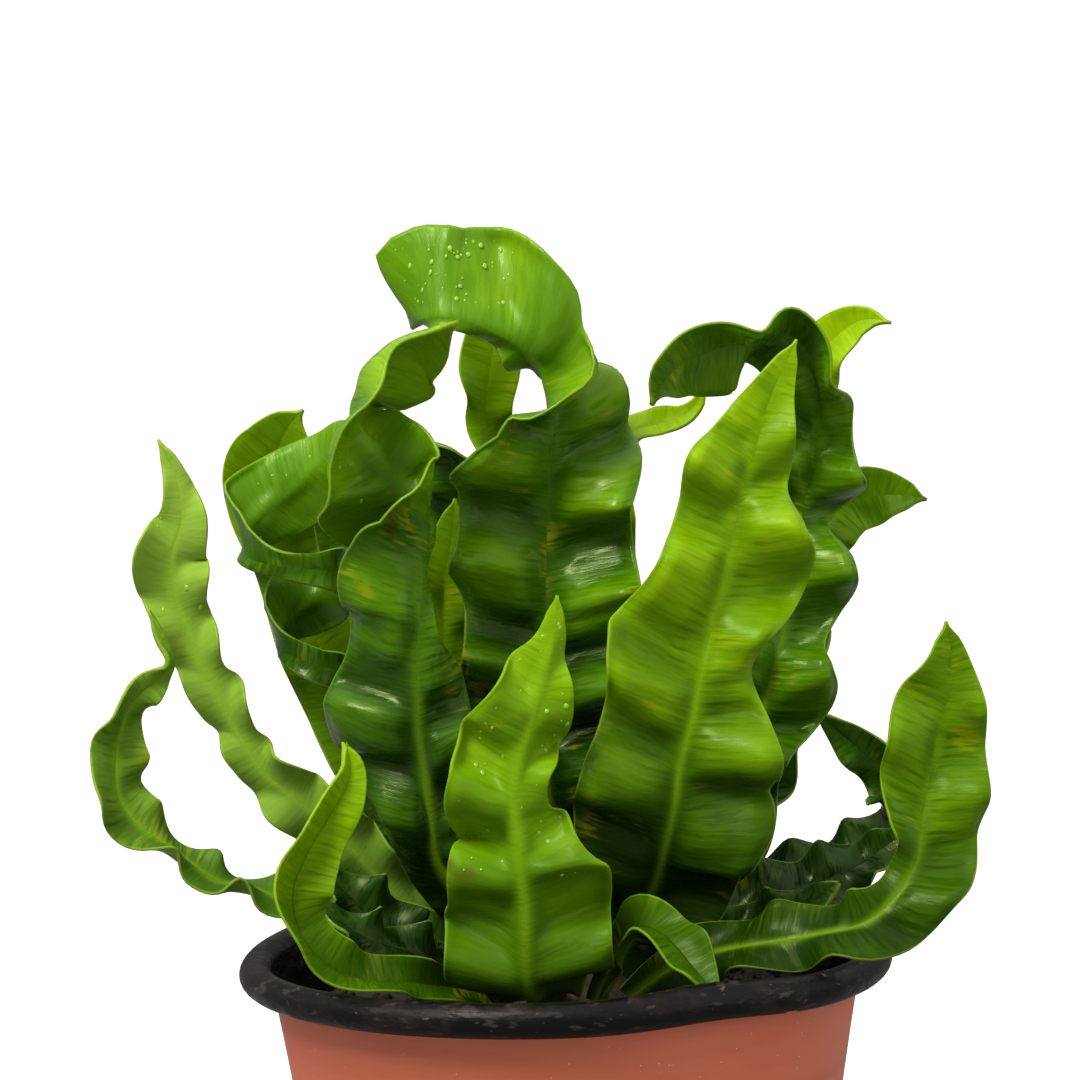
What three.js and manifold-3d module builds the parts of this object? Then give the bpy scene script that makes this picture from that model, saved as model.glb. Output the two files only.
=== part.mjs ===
// A crisped bird's nest fern in a soft two-colour nursery pot, in millimetres, +Z up.
// The origin is the middle of the pot's underside. -Y is the plant's front.
import * as THREE from "three";
import { mergeVertices } from "three/addons/utils/BufferGeometryUtils.js";
import Module from "manifold-3d";

const wasm = await Module();
wasm.setup();

// Driving dimensions
const POT_HEIGHT = 130;
const RIM_RADIUS = 79;
const RIM_BEAD = 8;
const BASE_RADIUS = 52.5;
const WALL = 1.3;
const DRAIN_HOLES = 8;
const DRAIN_RADIUS = 4.5;
const DRAIN_CIRCLE = 28;
const SOIL_TOP = 111;
const SOIL_MOUND = 3;
const CROWN_RADIUS = 24;
const CROWN_TOP = 130;
const CROWN_FOOT = 100;
const CROWN_MIDDLE = new THREE.Vector2(-1, -1);
const CLEARANCE = 0.3;
const BLADE_THICKNESS = 0.9;
const RIB_THICKNESS = 2.4;
const RIB_REACH = 3.5;

// The soft rim has sagged at its sides, and is pushed in at the front right. All of it is above WARP_FROM.
const WARP_FROM = 109;
const RIM_SAG = 2;
const RIM_LEAN = 0.5;
const DENT_DEPTH = 4;
const DENT_LIFT = 1.3;
const DENT_AT = THREE.MathUtils.degToRad(-63);
const DENT_SPREAD = THREE.MathUtils.degToRad(15);

// How finely the round and waved surfaces are divided
const POT_SIDES = 30;
const CROWN_SIDES = 13;
const ROW_SPACING = 5.5;
const COLUMNS = 4;

// The length of a frond's foot that is let into the crown
const CROWN_REACH = 15;

const TERRACOTTA = { color: 0xb5573f, roughness: 0.55, metalness: 0 };
const SOIL = { color: 0x1d1712, roughness: 1, metalness: 0 };
const CROWN = { color: 0x2a1d12, roughness: 0.95, metalness: 0 };
const LIGHT_LEAF = { color: 0x7aa81c, roughness: 0.4, metalness: 0 };
const DARK_LEAF = { color: 0x3d7512, roughness: 0.32, metalness: 0 };
const PALE_LEAF = { color: 0x8fae3c, roughness: 0.55, metalness: 0 };

// Each frond is a ribbon that follows its midrib. A station is [x, y, z, width left of the midrib, width
// right of it, roll in degrees]. At roll 0 the upper side looks along "face", and a positive roll brings
// the right-hand edge to the front. "fold" is how far each half is lifted from flat at the midrib, and
// "cup" how much more it has turned at the edge, both in degrees. "ripple" is the height of the waves at
// the edge, "pitch" their length along the frond, "lag" how far the left edge's waves trail the right
// edge's, in waves, "lean" how far the crests topple along the frond, and "start" the place in the wave
// at the base.
const FRONDS = [
  {
    name: "frond_tall_centre", finish: DARK_LEAF, face: [0, -1, 0], fold: 12,
    cup: 16, columns: 6, spacing: 5,
    ripple: 4.5, pitch: 23, lag: 0.3, lean: 0.5, start: 0.1,
    stations: [
      [-2, 1, 117, 3, 3, 0], [-3, 3, 135, 8, 8, 0], [-3, 5, 155, 19, 19, 0], [-3, 6, 180, 23, 23, 0],
      [-2, 6, 211, 21, 24, 0], [-2, 6, 219, 25, 24, 0], [-1, 5, 228, 23, 21, 0], [-1, 4, 236, 23, 21, 0],
      [-1, 3, 242, 26, 22, -3], [0, 2, 248, 24, 23, -14], [0, 2, 253, 22, 22, -38],
      [0, 2, 258, 21, 21, -60], [-1, 1, 263, 18, 18, -82], [-2, 0, 267, 14, 13, -107],
      [-4, -1, 270, 14, 9, -132], [-7, -2, 273, 20, 6, -155], [-11, -3, 276, 24, 4, -170],
      [-16, -4, 279, 25, 3, -178], [-22, -4, 281, 23, 3, -180], [-26, -3, 281, 23, 3, -180],
      [-29, 0, 281, 23, 3, -180], [-31, 4, 280, 22, 2, -180], [-32, 8, 279, 14, 1, -180],
      [-33, 12, 278, 1, 1, -180],
    ],
  },
  {
    name: "frond_broad_right", finish: LIGHT_LEAF, face: [0, -1, 0], fold: 8, cup: 6,
    ripple: 4, pitch: 25, lag: 0.45, lean: 0.4, start: 0.3,
    stations: [
      [7, -7, 117, 3, 3, 0], [16, -12, 133, 9, 9, 0], [21, -19, 145, 17, 18, 0],
      [24, -27, 156, 22, 20, 0],
      [26, -31, 166, 24, 24, 0], [27, -32, 173, 23, 22, 0], [29, -33, 181, 21, 23, 0],
      [31, -33, 189, 21, 19, 0],
      [33, -33, 198, 23, 12, 0], [35, -32, 205, 24, 12, -3], [37, -32, 214, 18, 17, -5],
      [40, -31, 224, 16, 20, -5],
      [42, -31, 233, 14, 16, -3], [44, -30, 241, 15, 11, 0], [47, -29, 249, 12, 9, 0],
      [51, -28, 261, 5.5, 5.5, 0],
      [57, -27, 273, 0.9, 0.9, 0],
    ],
  },
  {
    name: "frond_young_front", finish: LIGHT_LEAF, face: [0, 1, 1], fold: 10, cup: 5,
    ripple: 4, pitch: 21, lag: 0.15, lean: 0.6, start: 0.2,
    stations: [
      [-3, -17, 117, 3, 3, 0], [-6, -28, 121, 7, 7, 0], [-8, -38, 123, 13, 13, 0],
      [-9, -45, 128, 20, 19, 0],
      [-9, -48, 138, 20, 19, 0], [-9, -49, 147, 20, 19, 0], [-10, -50, 155, 20, 17, 0],
      [-10, -50, 161, 13, 15, 0],
      [-11, -50, 169, 10, 16, 0], [-10, -50, 176, 7, 16, 0], [-9, -50, 181, 9, 14, 0],
      [-7, -50, 187, 11, 14, 0],
      [-5, -50, 193, 9.5, 12, 0], [-3, -49, 200, 5.5, 8.5, 0], [-1, -48, 208, 3, 4, 0],
      [0, -47, 217, 0.8, 0.8, 0],
    ],
  },
  {
    name: "frond_twisted_left", finish: DARK_LEAF, face: [0, -1, 0], fold: -5,
    cup: -38, columns: 6, spacing: 4.8,
    ripple: 2.5, pitch: 26, lag: 0.3, lean: 0.4, start: 0.6,
    stations: [
      [-10, -6, 117, 3, 3, 0], [-20, -12, 136, 7, 7, 0], [-29, -17, 151, 10, 12, 0],
      [-31, -20, 163, 14, 14, 0], [-32, -22, 176, 19, 14, 0], [-33, -23, 183, 24, 14, 0],
      [-33, -24, 190, 25, 13, 0], [-33, -24, 197, 22, 11, 0], [-33, -24, 204, 17, 7, -4],
      [-32, -24, 211, 18, 4, -10], [-32, -24, 218, 20, 4, -25], [-31, -23, 225, 18, 6, -50],
      [-30, -22, 231, 15, 10, -82], [-32, -20, 236, 15, 15, -120], [-36, -19, 241, 16, 20, -155],
      [-39, -19, 246, 14, 20, -182], [-43, -19, 251, 10, 18, -215], [-46, -19, 256, 10, 17, -245],
      [-46, -19, 261, 15, 16, -256], [-43, -19, 266, 20, 14, -256], [-39, -19, 271, 21, 11, -254],
      [-34, -19, 275, 19, 8, -252], [-28, -19, 277, 14, 5, -250], [-21, -19, 279, 0.9, 0.9, -250],
    ],
  },
  {
    name: "frond_spiral_left", finish: DARK_LEAF, face: [0, 0, 1], fold: 5, cup: 15, spacing: 4,
    ripple: 1, pitch: 25, lag: 0.5, lean: 0.3, start: 0,
    stations: [
      [-12, 7, 117, 3, 3, 90], [-26, 11, 138, 6, 6, 90], [-38, 13, 156, 8, 8, 90],
      [-45, 14, 172, 8, 8, 90], [-49, 13, 185, 7, 7, 90], [-53, 9, 194, 5, 5, 90],
      [-59, 6, 197, 4, 4, 90], [-66, 9, 200, 3, 5, 90], [-68, 15, 204, 5, 9, 90],
      [-65, 21, 208, 8, 11, 90], [-59, 23, 212, 9, 10, 90], [-54, 20, 216, 8, 8, 90],
      [-54, 13, 219, 6, 6, 90], [-59, 8, 220, 4, 4, 90], [-67, 8, 221, 3, 4, 90],
      [-74, 12, 223, 3, 7, 90], [-76, 19, 227, 5, 10, 90], [-73, 25, 232, 9, 12, 90],
      [-66, 27, 238, 11, 11, 90], [-58, 24, 244, 9, 9, 90], [-53, 19, 249, 7, 7, 90],
      [-49, 13, 252, 4, 4, 90], [-45, 8, 254, 0.9, 0.9, 90],
    ],
  },
  {
    name: "frond_spiral_back", finish: LIGHT_LEAF, face: [0, -1, 0], fold: 8, cup: 12, spacing: 7.2,
    ripple: 3, pitch: 30, lag: 0.3, lean: 0.4, start: 0.4,
    stations: [
      [-14, 12, 117, 3, 3, 0], [-30, 26, 140, 7, 7, 0], [-44, 34, 162, 9, 9, 0],
      [-55, 38, 184, 10, 10, 0], [-63, 39, 206, 10, 10, 0], [-68, 38, 222, 9, 9, 0],
      [-71, 37, 234, 11, 11, 0], [-71, 36, 243, 12, 12, 0], [-68, 35, 250, 9, 10, 0],
      [-65, 34, 255, 5, 5, 0], [-62, 33, 258, 0.9, 0.9, 0],
    ],
  },
  {
    name: "frond_far_left", finish: PALE_LEAF, face: [0.2, -1, 0], fold: -8, cup: -10,
    ripple: 4, pitch: 17, lag: 0.5, lean: 0.4, start: 0,
    stations: [
      [-20, 3, 117, 3, 3, 180], [-34, 0, 134, 6, 6, 185], [-48, -2, 150, 8, 8, 190],
      [-57, -4, 160, 8, 8, 190],
      [-65, -5, 167, 7.5, 7.5, 190], [-72, -5, 174, 6, 6, 200], [-76, -5, 181, 4, 5, 200],
      [-81, -5, 190, 7, 6, 190],
      [-85, -5, 198, 5, 6, 185], [-88, -5, 206, 7, 7, 180], [-91, -5, 214, 7.5, 7.5, 180],
      [-92, -5, 224, 9.5, 9.5, 180], [-89, -5, 234, 6, 6, 180], [-90, -5, 244, 3, 3, 185],
      [-94, -5, 253, 0.8, 0.8, 190],
    ],
  },
  {
    name: "frond_far_left_curl", finish: PALE_LEAF, face: [0.3, -1, 0.2], fold: 15, cup: 10,
    ripple: 3, pitch: 19, lag: 0.5, lean: 0.4, start: 0.3,
    stations: [
      [-20, -3, 117, 3, 3, 0], [-34, -7, 132, 6, 6, -10], [-54, -10, 139, 7, 7, -20],
      [-67, -12, 142, 6, 6, -40],
      [-75, -12, 145, 6, 6, -70], [-83, -12, 147, 6.5, 6.5, -40], [-90, -12, 152, 5.5, 5.5, -60],
      [-96, -12, 157, 6.5, 6.5, -40], [-102, -12, 162, 7, 7, -20], [-106, -12, 169, 8, 8, -20],
      [-106, -12, 178, 7, 7, -20], [-104, -12, 187, 6, 6, -25], [-100, -12, 193, 4.5, 4.5, -35],
      [-95, -13, 197, 3, 3, -40], [-92, -14, 201, 1.8, 1.8, -30], [-94, -15, 207, 1.2, 1.2, 0],
      [-96, -15, 213, 0.7, 0.7, 0],
    ],
  },
  {
    name: "frond_front_left_curl", finish: LIGHT_LEAF, face: [0.2, -1, 0.3], fold: 32, cup: 15,
    ripple: 1.5, pitch: 24, lag: 0.5, lean: 0.4, start: 0,
    stations: [
      [-12, -17, 117, 3, 3, 0], [-24, -29, 123, 5, 5, -10], [-35, -39, 127, 6, 6, -20],
      [-44, -46, 129, 7.5, 7.5, -30],
      [-53, -51, 133, 7.5, 7.5, -30], [-60, -52, 141, 8, 8, -30], [-62, -51, 151, 9, 9, -25],
      [-58, -50, 161, 8.5, 8.5, -25], [-52, -49, 170, 7, 7, -20], [-48, -48, 178, 4, 4, -15],
      [-49, -47, 185, 0.8, 0.8, -10],
    ],
  },
  {
    name: "frond_right", finish: LIGHT_LEAF, face: [0, -1, 0.2], fold: 10, cup: 8,
    ripple: 3, pitch: 22, lag: 0.4, lean: 0.4, start: 0.7,
    stations: [
      [14, -15, 117, 3, 3, 0], [27, -24, 127, 6, 6, 20], [42, -32, 132, 9, 9, 40],
      [56, -37, 135, 9, 9, 40],
      [68, -39, 138, 8, 11, 30], [76, -38, 144, 6, 12, 10], [81, -35, 152, 5, 14, -5],
      [83, -33, 161, 9, 14, -10],
      [85, -31, 170, 12, 14, -8], [87, -30, 179, 12.5, 12.5, -5], [90, -30, 189, 12, 9, 0],
      [91, -30, 198, 6.5, 4.5, 0],
      [90, -30, 207, 0.9, 0.9, 0],
    ],
  },
  {
    name: "frond_arching_right", finish: DARK_LEAF, face: [0, -1, 0], fold: 10, cup: 10,
    ripple: 4.5, pitch: 24, lag: 0.1, lean: 0.5, start: 0.5,
    stations: [
      [10, 3, 117, 3, 3, 0], [24, 10, 136, 8, 10, 0], [38, 15, 155, 13, 15, 0], [44, 16, 168, 14, 11, 0],
      [48, 17, 176, 15, 11, 0], [52, 17, 187, 15, 17, 0], [54, 17, 195, 14, 14, 0],
      [56, 18, 202, 14, 11, 0],
      [58, 18, 212, 15, 16, 0], [60, 18, 221, 15, 14, 0], [61, 18, 229, 14, 7, 0],
      [63, 18, 238, 14, 14, 0],
      [65, 17, 247, 13, 11, 10], [66, 15, 255, 12, 8, 30], [65, 12, 263, 12, 10, 45],
      [60, 9, 270, 12, 12, 50],
      [53, 6, 273, 12, 13, 52], [46, 3, 273, 12, 12, 55], [38, 0, 271, 14, 14, 55],
      [31, -3, 268, 11, 12, 50],
      [26, -5, 263, 6, 8, 45], [24, -6, 258, 1, 1, 40],
    ],
  },
  {
    name: "frond_dark_left", finish: DARK_LEAF, face: [0, -1, 0.4], fold: 12, cup: 10,
    ripple: 4.5, pitch: 13, lag: 0.5, lean: 0.5, start: 0.2,
    stations: [
      [-20, -8, 117, 3, 3, 0], [-32, -15, 126, 6, 6, -10], [-41, -20, 135, 9, 9, -20],
      [-50, -20, 143, 8, 8, -20],
      [-58, -21, 152, 0.8, 0.8, -20],
    ],
  },
  {
    name: "frond_low_left", finish: DARK_LEAF, face: [0, -1, 0.6], fold: 12, cup: 12,
    ripple: 4, pitch: 15, lag: 0.4, lean: 0.4, start: 0.6,
    stations: [
      [-17, -12, 117, 3, 3, 0], [-27, -21, 126, 6, 6, -10], [-37, -27, 132, 8, 8, -20],
      [-48, -31, 138, 7, 7, -20],
      [-57, -33, 146, 0.8, 0.8, -20],
    ],
  },
  {
    name: "frond_right_back", finish: LIGHT_LEAF, face: [0, -1, 0], fold: 8, cup: 12, spacing: 7.2,
    ripple: 3, pitch: 24, lag: 0.4, lean: 0.4, start: 0,
    stations: [
      [13, 12, 117, 3, 3, 0], [26, 22, 143, 8, 8, 0], [38, 29, 166, 12, 12, 0], [48, 35, 190, 13, 13, 0],
      [57, 39, 209, 12, 12, 0], [66, 43, 223, 10, 10, 0], [75, 45, 230, 8.5, 8.5, 5],
      [83, 45, 232, 7.5, 7.5, 10],
      [90, 43, 232, 4, 4, 10], [95, 42, 231, 0.9, 0.9, 10],
    ],
  },
  {
    name: "frond_top_right_back", finish: LIGHT_LEAF, face: [0, -1, 0], fold: 10, cup: 12, spacing: 7.2,
    ripple: 3.5, pitch: 26, lag: 0.3, lean: 0.4, start: 0.4,
    stations: [
      [6, 11, 117, 3, 3, 0], [12, 26, 145, 8, 8, 0], [23, 40, 172, 11, 11, 0], [38, 52, 202, 12, 12, 0],
      [52, 56, 232, 11, 11, 10], [62, 53, 254, 10, 10, 20], [69, 47, 268, 8, 8, 25],
      [76, 43, 275, 5.5, 5.5, 20],
      [81, 40, 277, 3, 3, 10], [86, 37, 276, 0.8, 0.8, 0],
    ],
  },
  {
    name: "frond_centre_back", finish: LIGHT_LEAF, face: [0, -1, 0], fold: 10, cup: 14, spacing: 7.2,
    ripple: 3, pitch: 28, lag: 0.3, lean: 0.4, start: 0.2,
    stations: [
      [-3, 17, 117, 3, 3, 0], [-5, 29, 143, 9, 9, 0], [-8, 38, 170, 14, 14, 0], [-12, 43, 203, 14, 14, 0],
      [-15, 45, 230, 11, 11, -20], [-16, 44, 246, 6, 6, -60], [-17, 42, 256, 5, 6, -30],
      [-15, 40, 267, 8, 8, 0],
      [-13, 38, 278, 7, 7, 0], [-11, 36, 289, 0.9, 0.9, 0],
    ],
  },
  {
    name: "frond_hooked_back", finish: LIGHT_LEAF, face: [0, -1, 0], fold: 10, cup: 14, spacing: 7.2,
    ripple: 3, pitch: 25, lag: 0.3, lean: 0.4, start: 0.6,
    stations: [
      [4, 7, 117, 3, 3, 0], [6, 17, 143, 8, 8, 0], [7, 27, 170, 12, 12, 0], [8, 33, 203, 13, 13, 0],
      [10, 33, 229, 11, 11, 0], [14, 32, 243, 8, 8, 15], [20, 30, 250, 6, 6, 35],
      [27, 29, 252, 4.5, 4.5, 40],
      [33, 28, 254, 3, 3, 40], [37, 27, 258, 1.6, 1.6, 20], [37, 26, 263, 0.7, 0.7, 0],
    ],
  },
  {
    name: "frond_dark_back", finish: DARK_LEAF, face: [0, -1, 0], fold: 10, cup: 14, spacing: 7.2,
    ripple: 3.5, pitch: 26, lag: 0.4, lean: 0.4, start: 0.8,
    stations: [
      [-8, 10, 117, 3, 3, 0], [-11, 22, 145, 7, 7, 0], [-16, 31, 172, 12, 12, 0],
      [-21, 33, 200, 13, 13, 0],
      [-22, 30, 222, 12, 12, 10], [-21, 25, 238, 10, 10, 30], [-25, 20, 247, 8, 8, 60],
      [-32, 17, 250, 0.9, 0.9, 70],
    ],
  },
  {
    name: "frond_right_mid_back", finish: DARK_LEAF, face: [0, -0.6, 0.8], fold: 10, cup: 10,
    ripple: 3, pitch: 18, lag: 0.4, lean: 0.4, start: 0.1,
    stations: [
      [21, 5, 117, 3, 3, 0], [35, 12, 130, 6, 6, 0], [52, 19, 137, 9, 9, 0], [69, 22, 141, 9, 9, 0],
      [81, 24, 148, 9, 9, 15], [85, 23, 157, 8, 8, 40], [81, 23, 165, 7, 7, 60], [73, 22, 172, 5, 5, 60],
      [64, 22, 180, 0.8, 0.8, 60],
    ],
  },
  {
    name: "frond_low_right", finish: DARK_LEAF, face: [0, -0.7, 0.7], fold: 12, cup: 10,
    ripple: 3.5, pitch: 16, lag: 0.5, lean: 0.5, start: 0.5,
    stations: [
      [20, 0, 117, 3, 3, 0], [33, 0, 130, 6, 6, 0], [48, 1, 136, 9, 9, 0], [62, 3, 140, 9, 9, 0],
      [74, 6, 145, 7, 7, 0], [86, 8, 153, 0.8, 0.8, 0],
    ],
  },
  {
    name: "frond_small_front", finish: LIGHT_LEAF, face: [-0.5, -1, 0.5], fold: 25, cup: 20,
    ripple: 1.5, pitch: 16, lag: 0.5, lean: 0.3, start: 0,
    stations: [
      [7, -20, 117, 3, 3, 0], [12, -28, 130, 5, 5, 0], [17, -36, 138, 7, 7, 20],
      [23, -45, 137, 7.5, 7.5, 40],
      [29, -52, 131, 6, 6, 40], [34, -56, 126, 0.8, 0.8, 30],
    ],
  },
  {
    name: "frond_mid_right", finish: DARK_LEAF, face: [0, -0.8, 0.6], fold: 12, cup: 12,
    ripple: 3.5, pitch: 15, lag: 0.5, lean: 0.5, start: 0.3,
    stations: [
      [21, -6, 117, 3, 3, 0], [32, -11, 127, 6, 6, 0], [43, -16, 132, 8, 8, 0], [54, -19, 137, 7, 7, 0],
      [65, -21, 145, 0.8, 0.8, 0],
    ],
  },
  {
    name: "frond_light_back_left", finish: LIGHT_LEAF, face: [0, -1, 0.2], fold: 8, cup: 12, spacing: 7.2,
    ripple: 3.5, pitch: 22, lag: 0.3, lean: 0.4, start: 0.9,
    stations: [
      [-18, 10, 117, 3, 3, 0], [-24, 17, 138, 7, 7, 0], [-27, 21, 160, 9, 9, 0],
      [-28, 20, 182, 10, 10, 0],
      [-28, 17, 200, 10, 10, 0], [-27, 14, 215, 9, 9, 0], [-25, 14, 227, 5, 5, 0],
      [-24, 14, 236, 0.9, 0.9, 0],
    ],
  },
  {
    name: "frond_rear_left", finish: DARK_LEAF, face: [0.6, -1, 0.4], fold: 10, cup: 12, spacing: 7.2,
    ripple: 4, pitch: 24, lag: 0.4, lean: 0.4, start: 0.2,
    stations: [
      [-12, 17, 117, 3, 3, 0], [-23, 32, 134, 7, 7, 0], [-36, 48, 150, 13, 13, 0],
      [-47, 62, 171, 14, 14, 0],
      [-55, 71, 195, 13, 13, 0], [-59, 74, 215, 10, 10, 10], [-60, 71, 230, 5, 5, 20],
      [-58, 66, 239, 0.9, 0.9, 20],
    ],
  },
  {
    name: "frond_rear", finish: LIGHT_LEAF, face: [0, -1, 0.5], fold: 10, cup: 12, spacing: 7.2,
    ripple: 4, pitch: 24, lag: 0.3, lean: 0.4, start: 0.5,
    stations: [
      [3, 20, 117, 3, 3, 0], [4, 36, 133, 7, 7, 0], [4, 54, 148, 14, 14, 0], [3, 69, 172, 15, 15, 0],
      [0, 78, 196, 14, 14, 0], [-3, 80, 218, 12, 12, 0], [-5, 75, 236, 7, 7, 0],
      [-5, 67, 248, 0.9, 0.9, 0],
    ],
  },
  {
    name: "frond_rear_right", finish: DARK_LEAF, face: [-0.6, -1, 0.5], fold: 10, cup: 12, spacing: 7.2,
    ripple: 4, pitch: 22, lag: 0.4, lean: 0.4, start: 0.7,
    stations: [
      [11, 17, 117, 3, 3, 0], [23, 33, 131, 7, 7, 0], [39, 50, 144, 12, 12, 0], [53, 64, 163, 14, 14, 0],
      [61, 73, 184, 13, 13, 0], [64, 75, 203, 9, 9, 0], [62, 71, 217, 0.9, 0.9, 0],
    ],
  },
];

// A closed three.js geometry as a manifold solid.
function solidOf(geometry) {
  const bare = geometry.index ? geometry.toNonIndexed() : geometry.clone();
  bare.deleteAttribute("normal");
  bare.deleteAttribute("uv");
  const merged = mergeVertices(bare, 1e-4);
  const mesh = new wasm.Mesh({
    numProp: 3,
    vertProperties: new Float32Array(merged.attributes.position.array),
    triVerts: new Uint32Array(merged.index.array),
  });
  return new wasm.Manifold(mesh);
}

// A manifold solid's largest body as a three.js geometry.
function geometryOf(solid) {
  const largest = solid.decompose().sort((a, b) => b.volume() - a.volume())[0];
  const mesh = largest.getMesh();
  const position = new Float32Array(mesh.numVert * 3);
  for (let i = 0; i < mesh.numVert; i++) {
    position.set(mesh.vertProperties.subarray(i * mesh.numProp, i * mesh.numProp + 3), i * 3);
  }
  const geometry = new THREE.BufferGeometry();
  geometry.setAttribute("position", new THREE.BufferAttribute(position, 3));
  geometry.setIndex(new THREE.BufferAttribute(new Uint32Array(mesh.triVerts), 1));
  return geometry;
}

function smooth(from, to, value) {
  return THREE.MathUtils.smoothstep(value, from, to);
}

// Bends the upper part of a pot geometry, or of the soil in it, as the soft rim is bent.
function warpPot(geometry) {
  const place = geometry.attributes.position;
  for (let i = 0; i < place.count; i++) {
    const x = place.getX(i);
    const y = place.getY(i);
    const z = place.getZ(i);
    const radius = Math.hypot(x, y);
    const around = Math.atan2(y, x);
    const share = smooth(WARP_FROM, POT_HEIGHT, z) * smooth(0.45, 0.7, radius / RIM_RADIUS);
    const dent = Math.exp(-(((around - DENT_AT) / DENT_SPREAD) ** 2));
    const inward = 1 - (DENT_DEPTH * dent * share) / RIM_RADIUS;
    const sag = -RIM_SAG * Math.cos(around) ** 2 + RIM_LEAN * Math.cos(around) + DENT_LIFT * dent;
    place.setXYZ(i, x * inward, y * inward, z + sag * share);
  }
  return geometry;
}

// A profile of [radius, height] pairs, turned about the pot's axis.
function turned(profile, sides) {
  const points = profile.map(([radius, height]) => new THREE.Vector2(radius, height));
  return new THREE.LatheGeometry(points, sides).rotateX(Math.PI / 2);
}

function potWallRadius(height) {
  const mouth = RIM_RADIUS - RIM_BEAD;
  return BASE_RADIUS + (mouth - BASE_RADIUS) * (height / (POT_HEIGHT - RIM_BEAD));
}

function potSolid() {
  const floor = 3;
  const foot = 2.5;
  const under = POT_HEIGHT - RIM_BEAD;
  const bead = RIM_BEAD / 2;
  const beadMiddle = [RIM_RADIUS - bead, POT_HEIGHT - bead];
  const roll = [];
  for (let turn = -100; turn <= 190; turn += 36) {
    const angle = THREE.MathUtils.degToRad(turn);
    roll.push([beadMiddle[0] + bead * Math.cos(angle), beadMiddle[1] + bead * Math.sin(angle)]);
  }
  const profile = [
    [0, 0],
    [DRAIN_CIRCLE - 12, 0],
    [DRAIN_CIRCLE - 9.5, foot],
    [DRAIN_CIRCLE + 9.5, foot],
    [DRAIN_CIRCLE + 12, 0],
    [BASE_RADIUS - 1.5, 0],
    [potWallRadius(1.5), 1.5],
    [potWallRadius(WARP_FROM), WARP_FROM],
    [potWallRadius(under), under],
    ...roll,
    [potWallRadius(under) - WALL, under],
    [potWallRadius(WARP_FROM) - WALL, WARP_FROM],
    [potWallRadius(floor + foot) - WALL - 1, floor + foot],
    [0, floor + foot],
  ];
  let pot = solidOf(warpPot(turned(profile, POT_SIDES)));
  for (let i = 0; i < DRAIN_HOLES; i++) {
    const angle = ((i + 0.5) / DRAIN_HOLES) * 2 * Math.PI;
    const hole = new THREE.CylinderGeometry(DRAIN_RADIUS, DRAIN_RADIUS, 20, 10)
      .rotateX(Math.PI / 2)
      .translate(DRAIN_CIRCLE * Math.cos(angle), DRAIN_CIRCLE * Math.sin(angle), 0);
    pot = pot.subtract(solidOf(hole));
  }
  return pot;
}

function crownGeometry(grow) {
  const radius = CROWN_RADIUS + grow;
  const profile = [
    [0, CROWN_FOOT - grow],
    [radius * 0.8, CROWN_FOOT - grow],
    [radius, SOIL_TOP - 2],
    [radius, SOIL_TOP + 4],
    [radius * 0.86, SOIL_TOP + 9 + grow],
    [radius * 0.55, CROWN_TOP - 3 + grow],
    [radius * 0.25, CROWN_TOP - 0.5 + grow],
    [0, CROWN_TOP + grow],
  ];
  const geometry = turned(profile, CROWN_SIDES);
  const place = geometry.attributes.position;
  for (let i = 0; i < place.count; i++) {
    const around = Math.atan2(place.getY(i), place.getX(i));
    const knob = 1 + 0.05 * Math.sin(5 * around) + 0.03 * Math.sin(3 * around + 1);
    place.setX(i, place.getX(i) * knob + CROWN_MIDDLE.x);
    place.setY(i, place.getY(i) * knob + CROWN_MIDDLE.y);
  }
  return geometry;
}

function soilSolid() {
  const floor = 6;
  const rings = [0, 26, 38, 50, 60];
  const wallGap = WALL + CLEARANCE + 0.2;
  const edge = potWallRadius(SOIL_TOP) - wallGap;
  const mound = (radius) => SOIL_MOUND * Math.exp(-((radius / 40) ** 2));
  const top = [...rings, edge].map((radius) => [radius, SOIL_TOP + mound(radius)]);
  const profile = [
    [0, floor],
    [potWallRadius(floor) - wallGap - 1, floor],
    [potWallRadius(WARP_FROM) - wallGap, WARP_FROM],
    ...top.reverse(),
  ];
  const geometry = turned(profile, POT_SIDES);
  const place = geometry.attributes.position;
  for (let i = 0; i < place.count; i++) {
    const x = place.getX(i);
    const y = place.getY(i);
    if (place.getZ(i) > SOIL_TOP - 1) {
      const clods = Math.sin(x / 7 + 1) * Math.cos(y / 6) + 0.6 * Math.sin((x + y) / 4.3);
      place.setZ(i, place.getZ(i) + 0.9 * clods);
    }
  }
  return solidOf(warpPot(geometry)).subtract(solidOf(crownGeometry(CLEARANCE)));
}

// The midrib of a frond as a curve, with its half width and roll beside it.
function midribOf(frond) {
  const places = frond.stations.map(([x, y, z]) => new THREE.Vector3(x, y, z));
  const shapes = frond.stations.map(([, , , left, right, roll]) => new THREE.Vector3(left, right, roll));
  const path = new THREE.CatmullRomCurve3(places, false, "catmullrom", 0.5);
  const shape = new THREE.CatmullRomCurve3(shapes, false, "catmullrom", 0.5);
  return { path, shape, length: path.getLength(), face: new THREE.Vector3(...frond.face) };
}

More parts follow.
